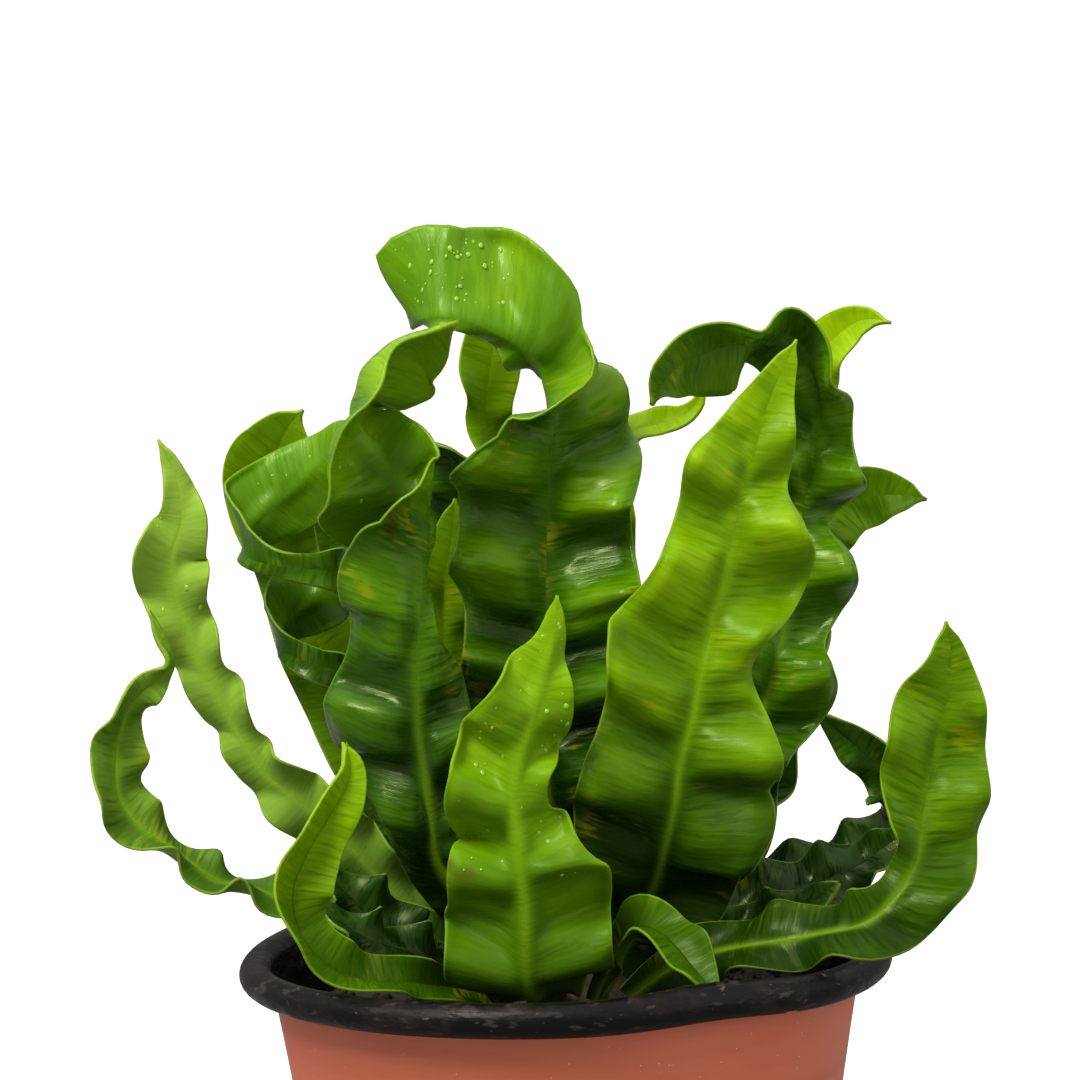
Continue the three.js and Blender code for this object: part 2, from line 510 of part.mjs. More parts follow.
// The mid surface of a frond: along runs 0 to 1 from base to tip, across runs -1 to 1 from left to right.
function bladePoint(frond, midrib, along, across) {
  const u = midrib.path.getUtoTmapping(along);
  const middle = midrib.path.getPoint(u);
  const tangent = midrib.path.getTangent(u);
  const { x: leftWidth, y: rightWidth, z: rollDegrees } = midrib.shape.getPoint(u);
  const width = across < 0 ? leftWidth : rightWidth;
  const roll = THREE.MathUtils.degToRad(rollDegrees);
  const front = midrib.face.clone().addScaledVector(tangent, -midrib.face.dot(tangent)).normalize();
  const right = new THREE.Vector3().crossVectors(tangent, front);
  const side = right.clone().multiplyScalar(Math.cos(roll)).addScaledVector(front, Math.sin(roll));
  const normal = front.clone().multiplyScalar(Math.cos(roll)).addScaledVector(right, -Math.sin(roll));

  const reach = Math.abs(across);
  const fold = THREE.MathUtils.degToRad(frond.fold);
  const cup = THREE.MathUtils.degToRad(frond.cup);
  const out = (width * (Math.sin(fold + cup * reach) - Math.sin(fold))) / cup;
  const lift = (width * (Math.cos(fold) - Math.cos(fold + cup * reach))) / cup;

  const held = smooth(0.04, 0.2, along) * (1 - smooth(0.8, 1, along));
  const lag = across < 0 ? frond.lag : 0;
  const phase = 2 * Math.PI * ((along * midrib.length) / frond.pitch + frond.start - lag - 0.15 * reach);
  const wave = frond.ripple * held * reach ** 1.6;
  return middle
    .addScaledVector(side, Math.sign(across) * out)
    .addScaledVector(normal, lift + wave * Math.sin(phase))
    .addScaledVector(tangent, frond.lean * wave * Math.cos(phase));
}

// How many columns and rows of faces a frond's blade is divided into.
function divisionsOf(frond) {
  const spacing = frond.spacing ?? ROW_SPACING;
  return { columns: frond.columns ?? COLUMNS, rows: Math.round(midribOf(frond).length / spacing) };
}

// A frond's blade as a closed shell, thickest along the midrib. Only its first "kept" rows are built, grown
// all round by "grow".
function bladeGeometry(frond, kept = Infinity, grow = 0) {
  const midrib = midribOf(frond);
  const { columns, rows } = divisionsOf(frond);
  const lastRow = Math.min(rows, kept);
  const step = 1e-3;
  const top = [];
  const bottom = [];
  for (let j = 0; j <= lastRow; j++) {
    const along = j / rows;
    const { x: leftWidth, y: rightWidth } = midrib.shape.getPoint(midrib.path.getUtoTmapping(along));
    const before = Math.max(along - step, 0);
    const after = Math.min(along + step, 1);
    for (let i = 0; i <= columns; i++) {
      const across = (2 * i) / columns - 1;
      const ahead = bladePoint(frond, midrib, after, across).sub(bladePoint(frond, midrib, before, across));
      const left = bladePoint(frond, midrib, along, across - 0.02);
      const right = bladePoint(frond, midrib, along, across + 0.02);
      const side = right.clone().sub(left).normalize();
      const normal = ahead.clone().cross(side).normalize();
      const width = across < 0 ? leftWidth : rightWidth;
      const ribShare = (1 - 0.7 * along) * Math.exp(-(((across * width) / RIB_REACH) ** 2));
      const half = THREE.MathUtils.lerp(BLADE_THICKNESS, RIB_THICKNESS, ribShare) / 2 + grow;
      const middle = left.add(right).multiplyScalar(0.5);
      if (Math.abs(across) === 1) middle.addScaledVector(side, across * grow);
      if (j === 0) middle.addScaledVector(ahead.normalize(), -2 * grow);
      top.push(middle.clone().addScaledVector(normal, half));
      bottom.push(middle.clone().addScaledVector(normal, -half));
    }
  }
  const corners = [...top, ...bottom];
  const wide = columns + 1;
  const under = top.length;
  const faces = [];
  const quad = (a, b, c, d) => faces.push(a, b, c, a, c, d);
  for (let j = 0; j < lastRow; j++) {
    for (let i = 0; i < columns; i++) {
      const a = j * wide + i;
      const [b, c, d] = [a + 1, a + wide + 1, a + wide];
      if ((i + j) % 2) {
        faces.push(a, c, b, a, d, c);
        faces.push(a + under, b + under, c + under, a + under, c + under, d + under);
      } else {
        faces.push(a, d, b, b, d, c);
        faces.push(a + under, b + under, d + under, b + under, c + under, d + under);
      }
    }
    const l = j * wide;
    const r = l + columns;
    quad(l, l + under, l + wide + under, l + wide);
    quad(r + wide, r + wide + under, r + under, r);
  }
  const last = lastRow * wide;
  for (let i = 0; i < columns; i++) {
    quad(i + 1, i + 1 + under, i + under, i);
    quad(last + i, last + i + under, last + i + 1 + under, last + i + 1);
  }
  const geometry = new THREE.BufferGeometry();
  const places = corners.flatMap((corner) => corner.toArray());
  geometry.setAttribute("position", new THREE.Float32BufferAttribute(places, 3));
  geometry.setIndex(faces);
  return geometry;
}

const part = new THREE.Group();

function add(name, solid, finish) {
  const mesh = new THREE.Mesh(geometryOf(solid), new THREE.MeshStandardMaterial(finish));
  mesh.name = name;
  part.add(mesh);
}

// Every frond's foot stands in a plain hole in the crown.
let crown = solidOf(crownGeometry(0));
for (const frond of FRONDS) {
  const kept = Math.ceil((CROWN_REACH / midribOf(frond).length) * divisionsOf(frond).rows);
  crown = crown.subtract(solidOf(bladeGeometry(frond, kept, CLEARANCE)));
}

add("pot", potSolid(), TERRACOTTA);
add("potting_mix", soilSolid(), SOIL);
add("crown", crown, CROWN);
for (const frond of FRONDS) {
  add(frond.name, solidOf(bladeGeometry(frond)), frond.finish);
}

export default part;
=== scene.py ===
"""A crisped bird's nest fern in a soft two-colour nursery pot: the finished pieces, their materials and the stage."""

import math
import random

import bmesh
import bpy
import numpy as np
from bpy.props import FloatProperty, FloatVectorProperty, IntProperty, PointerProperty
from mathutils import Matrix, Vector, noise


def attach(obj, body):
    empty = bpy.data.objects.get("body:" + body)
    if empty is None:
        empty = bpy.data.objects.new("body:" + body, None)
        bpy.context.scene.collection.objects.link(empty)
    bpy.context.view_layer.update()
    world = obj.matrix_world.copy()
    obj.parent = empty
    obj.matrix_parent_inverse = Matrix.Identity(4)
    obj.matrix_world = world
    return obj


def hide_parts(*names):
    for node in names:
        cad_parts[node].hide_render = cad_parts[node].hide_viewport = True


bl_info = {
    "name": "Potted bird's nest fern",
    "version": (1, 0, 0),
    "blender": (4, 5, 0),
    "location": "3D View > Sidebar > Fern",
    "description": "Waved fronds, a soft nursery pot, potting mix and a crown",
    "category": "Object",
}

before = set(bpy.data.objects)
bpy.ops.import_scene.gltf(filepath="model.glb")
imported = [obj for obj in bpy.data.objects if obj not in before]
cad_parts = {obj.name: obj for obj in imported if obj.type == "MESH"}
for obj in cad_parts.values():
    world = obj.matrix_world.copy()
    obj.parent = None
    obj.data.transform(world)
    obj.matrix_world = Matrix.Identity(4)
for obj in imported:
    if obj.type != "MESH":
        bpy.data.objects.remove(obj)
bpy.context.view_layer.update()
MM = 0.001
EULER = 2.718
SOFT_FROM = 0.109  # height above which the pot's soft rim is bent, in metres
POT_FLOOR = 0.0055  # top of the pot's floor
DRAIN_HOLES, DRAIN_RADIUS, DRAIN_RING = 8, 0.0045, 0.028  # how many, their radius and that of their ring
MOUND_REACH = 0.04  # how far the mix's mound reaches from the crown
UV_SCALE = 10  # the blade's UV map is in decimetres
CAMERA_PLACE, CAMERA_PITCH, CAMERA_TURN = (-0.0035, -0.75, 0.28), 4.1, 1.5  # metres, degrees down, degrees over


# Each frond is a ribbon that follows its midrib. A station is (x, y, z, width left of the midrib, width right
# of it, roll in degrees), in millimetres. One width stands for both where they are the same, and a roll of 0
# is then left out. At roll 0 the upper side looks along "face", and a positive roll brings the right-hand edge
# to the front. "fold" is how far each half is lifted from flat at the midrib and "cup" how much more it has
# turned at the edge, in degrees. "ripple" is the height of the waves at the edge, "pitch" their length along
# the frond, "lag" how far the left edge's waves trail the right edge's, in waves, "lean" how far the crests
# topple along the frond, and "start" the place in the wave at the base. "tones" are its colours at the foot,
# half way and at the tip (0 deepest, 1 lightest), "yellow" how yellow its streaks are, "rib_until" how far up
# the pale midrib shows and "pleat" the strength of its pleats in millimetres.
# The low tones at the fronds' feet, and on the small fronds low in the nest, are partly the fronds' own deeper green
# at the base and partly painted shade where the inside of the nest lies in shadow.
FRONDS = {
    "tall_centre": dict(
        finish="dark", face=(0, -1, 0), fold=12, cup=16, ripple=4.5, pitch=23, lag=0.3, lean=0.5, start=0.1,
        tones=(-0.35, 0.5, 0.58), yellow=0.7, rib_until=0.35, pleat=1.1,
        stations=[(-2, 1, 117, 3), (-3, 3, 135, 8), (-3, 5, 155, 19), (-3, 6, 180, 23), (-2.5, 6, 208, 21, 24, 0),
         (-2.2, 6, 218, 25, 24, 0), (-1.8, 5.3, 228, 23, 22, 0), (-1.3, 4.2, 236, 23, 21, 0),
         (-0.8, 3, 242, 26, 22, -3), (-0.3, 2.2, 248, 24, 23, -14), (0, 2, 253, 22, -38), (0, 2, 258, 21, -60),
         (-1, 1, 263, 18, -82), (-2, 0, 267, 14, 13, -107), (-4, -1, 270, 14, 9, -132), (-7, -2, 273, 20, 6, -155),
         (-11, -3, 275.5, 23.5, 4, -168), (-16, -4, 278, 25, 3, -175), (-21, -4, 279.6, 24, 3, -178),
         (-26, -3, 280.4, 23, 3, -180), (-29, 0, 280.4, 23, 3, -180), (-31, 4, 280, 22, 2, -180),
         (-32, 8, 279, 14, 1, -180), (-33, 12, 278, 1, -180)]),
    "broad_right": dict(
        finish="light", face=(0, -1, 0), fold=8, cup=6, ripple=4, pitch=25, lag=0.45, lean=0.4, start=0.3,
        tones=(-0.45, 0.46, 0.64), yellow=0.3, rib_until=0.8, pleat=0.8,
        stations=[(7, -7, 117, 3), (16, -12, 133, 9), (21, -19, 145, 17, 18, 0), (24, -27, 156, 22, 20, 0),
         (26, -31, 166, 24), (27, -32, 173, 23, 22, 0), (29, -33, 181, 21, 23, 0), (31, -33, 189, 21, 19, 0),
         (33, -33, 198, 23, 12, 0), (35, -32, 205, 24, 12, -3), (37, -32, 214, 18, 17, -5),
         (40, -31, 224, 16, 20, -5), (42, -31, 233, 14, 16, -3), (44, -30, 241, 15, 11, 0),
         (47, -29, 249, 12, 9, 0), (51, -28, 261, 5.5), (57, -27, 273, 0.9)]),
    "young_front": dict(
        finish="light", face=(0, 1, 1), fold=10, cup=5, ripple=4, pitch=21, lag=0.15, lean=0.6, start=0.2,
        tones=(0.1, 0.5, 0.68), yellow=0.6, rib_until=0.9, pleat=1.0,
        stations=[(-3, -17, 117, 3), (-6, -28, 121, 7), (-8, -38, 123, 13), (-9, -45, 128, 20, 19, 0),
         (-9, -48, 138, 20, 19, 0), (-9, -49, 147, 20, 19, 0), (-10, -50, 155, 20, 17, 0),
         (-10, -50, 161, 13, 15, 0), (-11, -50, 169, 10, 16, 0), (-10, -50, 176, 7, 16, 0),
         (-9, -50, 181, 9, 14, 0), (-7, -50, 187, 11, 14, 0), (-5, -50, 193, 9.5, 12, 0),
         (-3, -49, 200, 5.5, 8.5, 0), (-1, -48, 208, 3, 4, 0), (0, -47, 217, 0.8)]),
    "twisted_left": dict(
        finish="dark", face=(0, -1, 0), fold=-5, cup=-38, ripple=2.5, pitch=26, lag=0.3, lean=0.4, start=0.6,
        tones=(0.0, 0.35, 0.85), yellow=0.4, rib_until=0.5, pleat=0.9,
        stations=[(-10, -6, 117, 3), (-20, -12, 136, 7), (-29, -17, 151, 10, 12, 0), (-31, -20, 163, 14),
         (-32, -22, 176, 19, 14, 0), (-33, -23, 183, 24, 14, 0), (-33, -24, 190, 25, 13, 0),
         (-33, -24, 197, 22, 11, 0), (-33, -24, 204, 17, 7, -4), (-32, -24, 211, 18, 4, -10),
         (-32, -24, 218, 20, 4, -25), (-31, -23, 225, 18, 6, -50), (-30, -22, 231, 15, 10, -82),
         (-32, -20, 236, 15, -120), (-36, -19, 241, 16, 20, -155), (-39, -19, 246, 14, 20, -182),
         (-43, -19, 251, 10, 18, -215), (-46, -19, 256, 10, 17, -245), (-46, -19, 261, 15, 16, -256),
         (-43, -19, 266, 20, 14, -256), (-39, -19, 271, 21, 11, -254), (-34, -19, 275, 19, 8, -252),
         (-28, -19, 277, 14, 5, -250), (-21, -19, 279, 0.9, -250)]),
    "spiral_left": dict(
        finish="dark", face=(0, 0, 1), fold=5, cup=15, ripple=1, pitch=25, lag=0.5, lean=0.3, start=0,
        tones=(0.1, 0.25, 0.65), yellow=0.4, rib_until=0.4, pleat=0.5,
        stations=[(-12, 7, 117, 3, 90), (-26, 11, 138, 6, 90), (-38, 13, 156, 8, 90), (-45, 14, 172, 8, 90),
         (-49, 13, 185, 7, 90), (-53, 9, 194, 5, 90), (-59, 6, 197, 4, 90), (-66, 9, 200, 3, 5, 90),
         (-68, 15, 204, 5, 9, 90), (-65, 21, 208, 8, 11, 90), (-59, 23, 212, 9, 10, 90), (-54, 20, 216, 8, 90),
         (-54, 13, 219, 6, 90), (-59, 8, 220, 4, 90), (-67, 8, 221, 3, 4, 90), (-74, 12, 223, 3, 7, 90),
         (-76, 19, 227, 5, 10, 90), (-73, 25, 232, 9, 12, 90), (-66, 27, 238, 11, 90), (-58, 24, 244, 9, 90),
         (-53, 19, 249, 7, 90), (-49, 13, 252, 4, 90), (-45, 8, 254, 0.9, 90)]),
    "spiral_back": dict(
        finish="light", face=(0, -1, 0), fold=8, cup=12, ripple=3, pitch=30, lag=0.3, lean=0.4, start=0.4,
        tones=(0.3, 0.4, 0.5), yellow=0.2, rib_until=0.4, pleat=0.3,
        stations=[(-14, 12, 117, 3), (-30, 26, 140, 7), (-44, 34, 162, 9), (-55, 38, 184, 10), (-63, 39, 206, 10),
         (-68, 38, 222, 9), (-71, 37, 234, 11), (-71, 36, 243, 12), (-68, 35, 250, 9, 10, 0), (-65, 34, 255, 5),
         (-62, 33, 258, 0.9)]),
    "far_left": dict(
        finish="pale", face=(0.2, -1, 0), fold=-8, cup=-10, ripple=4, pitch=17, lag=0.5, lean=0.4, start=0,
        tones=(0.25, 0.45, 0.68), yellow=0.4, rib_until=1.0, pleat=0.4,
        stations=[(-20, 3, 117, 3, 180), (-34, 0, 134, 6, 185), (-48, -2, 150, 8, 190), (-57, -4, 160, 8, 190),
         (-65, -5, 167, 7.5, 190), (-72, -5, 174, 6, 200), (-76, -5, 181, 4, 5, 200), (-81, -5, 190, 7, 6, 190),
         (-85, -5, 198, 5, 6, 185), (-88, -5, 206, 7, 180), (-91, -5, 214, 7.5, 180), (-92, -5, 224, 9.5, 180),
         (-89, -5, 234, 6, 180), (-90, -5, 244, 3, 185), (-94, -5, 253, 0.8, 190)]),
    "far_left_curl": dict(
        finish="pale", face=(0.3, -1, 0.2), fold=15, cup=10, ripple=3, pitch=19, lag=0.5, lean=0.4, start=0.3,
        tones=(0.35, 0.35, 0.45), yellow=0.3, rib_until=1.0, pleat=0.3,
        stations=[(-20, -3, 117, 3), (-34, -7, 132, 6, -10), (-54, -10, 139, 7, -20), (-67, -12, 142, 6, -40),
         (-75, -12, 145, 6, -70), (-83, -12, 147, 6.5, -40), (-90, -12, 152, 5.5, -60), (-96, -12, 157, 6.5, -40),
         (-102, -12, 162, 7, -20), (-106, -12, 169, 8, -20), (-106, -12, 178, 7, -20), (-104, -12, 187, 6, -25),
         (-100, -12, 193, 4.5, -35), (-95, -13, 197, 3, -40), (-92, -14, 201, 1.8, -30), (-94, -15, 207, 1.2),
         (-96, -15, 213, 0.7)]),
    "front_left_curl": dict(
        finish="light", face=(0.2, -1, 0.3), fold=32, cup=15, ripple=1.5, pitch=24, lag=0.5, lean=0.4, start=0,
        tones=(0.3, 0.55, 0.62), yellow=0.35, rib_until=0.2, pleat=0.3,
        stations=[(-12, -17, 117, 3), (-24, -29, 123, 5, -10), (-35, -39, 127, 6, -20), (-44, -46, 129, 7.5, -30),
         (-53, -51, 133, 7.5, -30), (-60, -52, 141, 8, -30), (-62, -51, 151, 9, -25), (-58, -50, 161, 8.5, -25),
         (-52, -49, 170, 7, -20), (-48, -48, 178, 4, -15), (-49, -47, 185, 0.8, -10)]),
    "right": dict(
        finish="light", face=(0, -1, 0.2), fold=10, cup=8, ripple=3, pitch=22, lag=0.4, lean=0.4, start=0.7,
        tones=(0.1, 0.3, 0.42), yellow=0.3, rib_until=0.7, pleat=0.5,
        stations=[(14, -15, 117, 3), (27, -24, 127, 6, 20), (42, -32, 132, 9, 40), (56, -37, 135, 9, 40),
         (68, -39, 138, 8, 11, 30), (76, -38, 144, 6, 12, 10), (81, -35, 152, 5, 14, -5),
         (83, -33, 161, 9, 14, -10), (85, -31, 170, 12, 14, -8), (87, -30, 179, 12.5, -5),
         (90, -30, 189, 12, 9, 0), (91, -30, 198, 6.5, 4.5, 0), (90, -30, 207, 0.9)]),
    "arching_right": dict(
        finish="dark", face=(0, -1, 0), fold=10, cup=10, ripple=4.5, pitch=24, lag=0.1, lean=0.5, start=0.5,
        tones=(0.0, 0.45, 0.6), yellow=0.5, rib_until=0.5, pleat=1.0,
        stations=[(10, 3, 117, 3), (24, 10, 136, 8, 10, 0), (38, 15, 155, 13, 15, 0), (44, 16, 168, 14, 11, 0),
         (48, 17, 176, 15, 11, 0), (52, 17, 187, 15, 17, 0), (54, 17, 195, 14), (56, 18, 202, 14, 11, 0),
         (58, 18, 212, 15, 16, 0), (60, 18, 221, 15, 14, 0), (61, 18, 229, 14, 7, 0), (63, 18, 238, 14),
         (65, 17, 247, 13, 11, 10), (66, 15, 255, 12, 8, 30), (65, 12, 263, 12, 10, 45), (60, 9, 270, 12, 50),
         (53, 6, 273, 12, 13, 52), (46, 3, 273, 12, 55), (38, 0, 271, 14, 55), (31, -3, 268, 11, 12, 50),
         (26, -5, 263, 6, 8, 45), (24, -6, 258, 1, 40)]),
    "dark_left": dict(
        finish="dark", face=(0, -1, 0.4), fold=12, cup=10, ripple=4.5, pitch=13, lag=0.5, lean=0.5, start=0.2,
        tones=(0.0, 0.25, 0.35), yellow=0.1, rib_until=0.3, pleat=0.45,
        stations=[(-20, -8, 117, 3), (-32, -15, 126, 6, -10), (-41, -20, 135, 9, -20), (-50, -19.5, 143.5, 7.5, -20),
         (-58, -21, 152, 0.8, -20)]),
    "low_left": dict(
        finish="dark", face=(0, -1, 0.6), fold=12, cup=12, ripple=4, pitch=15, lag=0.4, lean=0.4, start=0.6,
        tones=(0.05, 0.3, 0.4), yellow=0.1, rib_until=0.3, pleat=0.45,
        stations=[(-17, -12, 117, 3), (-27, -20.5, 126.5, 5, -10), (-37, -28, 132, 7.5, -20),
         (-48, -32.5, 137.5, 6, -20), (-57, -34, 146, 0.8, -20)]),
    "right_back": dict(
        finish="light", face=(0, -1, 0), fold=8, cup=12, ripple=3, pitch=24, lag=0.4, lean=0.4, start=0,
        tones=(0.0, 0.25, 0.4), yellow=0.1, rib_until=0.5, pleat=0.5,
        stations=[(13, 12, 117, 3), (26, 22, 143, 8), (38, 29, 166, 12), (48, 35, 190, 13), (57, 39, 209, 12),
         (66, 43, 223, 10), (75, 45, 230, 8.5, 5), (83, 45, 232, 7.5, 10), (90, 43, 232, 4, 10),
         (95, 42, 231, 0.9, 10)]),
    "top_right_back": dict(
        finish="light", face=(0, -1, 0), fold=10, cup=12, ripple=3.5, pitch=26, lag=0.3, lean=0.4, start=0.4,
        tones=(0.3, 0.6, 0.85), yellow=0.3, rib_until=0.6, pleat=0.35,
        stations=[(6, 11, 117, 3), (12, 26, 145, 8), (23, 40, 172, 11), (38, 52, 202, 12), (52, 56, 232, 11, 10),
         (62, 53, 254, 10, 20), (69, 47, 268, 8, 25), (76, 43, 275, 5.5, 20), (81, 40, 277, 3, 10),
         (86, 37, 276, 0.8)]),
    "centre_back": dict(
        finish="light", face=(0, -1, 0), fold=10, cup=14, ripple=3, pitch=28, lag=0.3, lean=0.4, start=0.2,
        tones=(0.3, 0.45, 0.6), yellow=0.2, rib_until=0.6, pleat=0.35,
        stations=[(-3, 17, 117, 3), (-5, 29, 143, 9), (-8, 38, 170, 14), (-12, 43, 203, 14), (-15, 45, 230, 11, -20),
         (-16, 44, 246, 6, -60), (-17, 42, 256, 5, 6, -30), (-15, 40, 267, 8), (-13, 38, 278, 7),
         (-11, 36, 289, 0.9)]),
    "hooked_back": dict(
        finish="light", face=(0, -1, 0), fold=10, cup=14, ripple=3, pitch=25, lag=0.3, lean=0.4, start=0.6,
        tones=(0.35, 0.6, 0.8), yellow=0.2, rib_until=0.7, pleat=0.3,
        stations=[(4, 7, 117, 3), (6, 17, 143, 8), (7, 27, 170, 12), (8, 33, 203, 13), (10, 33, 229, 11),
         (14, 32, 243, 8, 15), (20, 30, 250, 6, 35), (27, 29, 252, 4.5, 40), (33, 28, 254, 3, 40),
         (37, 27, 258, 1.6, 20), (37, 26, 263, 0.7)]),
    "dark_back": dict(
        finish="dark", face=(0, -1, 0), fold=10, cup=14, ripple=3.5, pitch=26, lag=0.4, lean=0.4, start=0.8,
        tones=(0.1, 0.25, 0.3), yellow=0.1, rib_until=0.4, pleat=0.4,
        stations=[(-8, 10, 117, 3), (-11, 22, 145, 7), (-16, 31, 172, 12), (-21, 33, 200, 13), (-22, 30, 222, 12, 10),
         (-21, 25, 238, 10, 30), (-25, 20, 247, 8, 60), (-32, 17, 250, 0.9, 70)]),
    "right_mid_back": dict(
        finish="dark", face=(0, -0.6, 0.8), fold=10, cup=10, ripple=3, pitch=18, lag=0.4, lean=0.4, start=0.1,
        tones=(0.2, 0.3, 0.4), yellow=0.1, rib_until=0.5, pleat=0.35,
        stations=[(21, 5, 117, 3), (35, 12, 130, 6), (52, 19, 137, 9), (69, 22, 141, 9), (81, 24, 148, 9, 15),
         (85, 23, 157, 8, 40), (81, 23, 165, 7, 60), (73, 22, 172, 5, 60), (64, 22, 180, 0.8, 60)]),
    "low_right": dict(
        finish="dark", face=(0, -0.7, 0.7), fold=12, cup=10, ripple=3.5, pitch=16, lag=0.5, lean=0.5, start=0.5,
        tones=(0.0, 0.2, 0.35), yellow=0.1, rib_until=0.5, pleat=0.45,
        stations=[(20, 0, 117, 3), (33, 0, 130, 6), (48, 1, 136, 9), (62, 3, 140, 9), (74, 6, 145, 7),
         (86, 8, 153, 0.8)]),
    "small_front": dict(
        finish="light", face=(-0.5, -1, 0.5), fold=25, cup=20, ripple=1.5, pitch=16, lag=0.5, lean=0.3, start=0,
        tones=(0.1, 0.4, 0.45), yellow=0.2, rib_until=0.5, pleat=0.3,
        stations=[(7, -20, 117, 3), (12, -28, 130, 5), (17, -36, 138, 7, 20), (23, -45, 137, 7.5, 40),
         (29, -52, 131, 6, 40), (34, -56, 126, 0.8, 30)]),
    "mid_right": dict(
        finish="dark", face=(0, -0.8, 0.6), fold=12, cup=12, ripple=3.5, pitch=15, lag=0.5, lean=0.5, start=0.3,
        tones=(0.25, 0.4, 0.5), yellow=0.1, rib_until=0.5, pleat=0.35,
        stations=[(21, -6, 117, 3), (32, -11, 127, 6), (43, -16, 132, 8), (54, -19, 137, 7), (65, -21, 145, 0.8)]),
    "light_back_left": dict(
        finish="light", face=(0, -1, 0.2), fold=8, cup=12, ripple=3.5, pitch=22, lag=0.3, lean=0.4, start=0.9,
        tones=(0.3, 0.5, 0.6), yellow=0.3, rib_until=0.6, pleat=0.35,
        stations=[(-18, 10, 117, 3), (-24, 17, 138, 7), (-27, 21, 160, 9), (-28, 20, 182, 10), (-28, 17, 200, 10),
         (-27, 14, 215, 9), (-25, 14, 227, 5), (-24, 14, 236, 0.9)]),
    "rear_left": dict(
        finish="dark", face=(0.6, -1, 0.4), fold=10, cup=12, ripple=4, pitch=24, lag=0.4, lean=0.4, start=0.2,
        tones=(0.3, 0.4, 0.55), yellow=0.2, rib_until=0.6, pleat=0.45,
        stations=[(-12, 17, 117, 3), (-23, 32, 134, 7), (-36, 48, 150, 13), (-47, 62, 171, 14), (-55, 71, 195, 13),
         (-59, 74, 215, 10, 10), (-60, 71, 230, 5, 20), (-58, 66, 239, 0.9, 20)]),
    "rear": dict(
        finish="light", face=(0, -1, 0.5), fold=10, cup=12, ripple=4, pitch=24, lag=0.3, lean=0.4, start=0.5,
        tones=(0.4, 0.5, 0.65), yellow=0.3, rib_until=0.7, pleat=0.45,
        stations=[(3, 20, 117, 3), (4, 36, 133, 7), (4, 54, 148, 14), (3, 69, 172, 15), (0, 78, 196, 14),
         (-3, 80, 218, 12), (-5, 75, 236, 7), (-5, 67, 248, 0.9)]),
    "rear_right": dict(
        finish="dark", face=(-0.6, -1, 0.5), fold=10, cup=12, ripple=4, pitch=22, lag=0.4, lean=0.4, start=0.7,
        tones=(0.3, 0.4, 0.5), yellow=0.2, rib_until=0.6, pleat=0.45,
        stations=[(11, 17, 117, 3), (23, 33, 131, 7), (39, 50, 144, 12), (53, 64, 163, 14), (61, 73, 184, 13),
         (64, 75, 203, 9), (62, 71, 217, 0.9)]),
}


# A small brown mark on a blade: from and to as (x, z) in millimetres, half width in millimetres, strength.
SCARS = {
    "young_front": ((-27, 156.5), (-20.5, 153.5), 0.7, 1.0),
    "right": ((93.5, 186.5), (97.5, 184), 0.35, 0.35),
    "twisted_left": ((-37.6, 241), (-37.9, 231), 0.7, 0.55),
}
SCAR_FADE = 0.9  # how far a mark's edge fades out, in millimetres


def metres(name, text, default):
    """A size that a user can change, in metres."""
    return FloatProperty(name=name, description=text, default=default, unit="LENGTH")


def paint(name, text, *parts):
    """A colour that a user can change."""
    return FloatVectorProperty(name=name, description=text, subtype="COLOR", size=4, min=0, max=1,
                               default=(*parts, 1))


class PotSizes(bpy.types.PropertyGroup):
    height: metres("Height", "Pot's height over the rolled rim", 0.130)
    rim_radius: metres("Rim radius", "Outside of the rolled rim", 0.079)
    rim_bead: metres("Rim bead", "Thickness of the rolled rim", 0.008)
    base_radius: metres("Base radius", "Radius at the foot", 0.0525)
    wall: metres("Wall", "Thickness of the soft wall", 0.0013)
    body_colour: paint("Body colour", "Terracotta plastic", 0.46, 0.105, 0.046)
    lining_colour: paint("Lining colour", "Black rim and inside", 0.002, 0.002, 0.002)


class BedSizes(bpy.types.PropertyGroup):
    top: metres("Soil level", "Height of the potting mix", 0.111)
    mound: metres("Mound", "Rise of the mix round the crown", 0.003)
    crumbs: IntProperty(name="Crumbs", description="Loose crumbs on the mix", default=650, min=0)
    crown_radius: metres("Crown radius", "Radius of the crown", 0.024)
    crown_top: metres("Crown top", "Height of the crown's top", 0.130)
    soil_colour: paint("Soil colour", "Moist peat", 0.012, 0.009, 0.007)
    crown_colour: paint("Crown colour", "Scaly brown crown", 0.03, 0.017, 0.009)


class FrondSizes(bpy.types.PropertyGroup):
    blade: metres("Blade thickness", "Thickness of the blade", 0.0009)
    margin: metres("Margin thickness", "Thickness at the margin", 0.0006)
    rib: metres("Midrib thickness", "Thickness at the foot's midrib", 0.0024)
    rib_reach: metres("Midrib reach", "Half width of the midrib", 0.0035)
    spacing: metres("Row spacing", "Distance of the mesh's rows", 0.0013)
    columns: IntProperty(name="Columns", description="Faces across a blade", default=26, min=8)


class StageSizes(bpy.types.PropertyGroup):
    floor: paint("Floor colour", "Plain pale floor", 0.95, 0.95, 0.95)
    sky: FloatProperty(name="Surround light", description="Strength of the light from all sides", default=0.95)
    key: FloatProperty(name="Main light", description="Soft light from the upper left", default=30.0, unit="POWER")
    fill: FloatProperty(name="Fill light", description="Soft light from the right", default=5.0, unit="POWER")
    lens: FloatProperty(name="Lens", description="Camera's focal length in millimetres", default=104.17)


# Shapes shared by the pieces


def smooth(low, high, value):
    """0 below low, 1 above high and an even S between."""
    share = np.clip((value - low) / (high - low), 0, 1)
    return share * share * (3 - 2 * share)


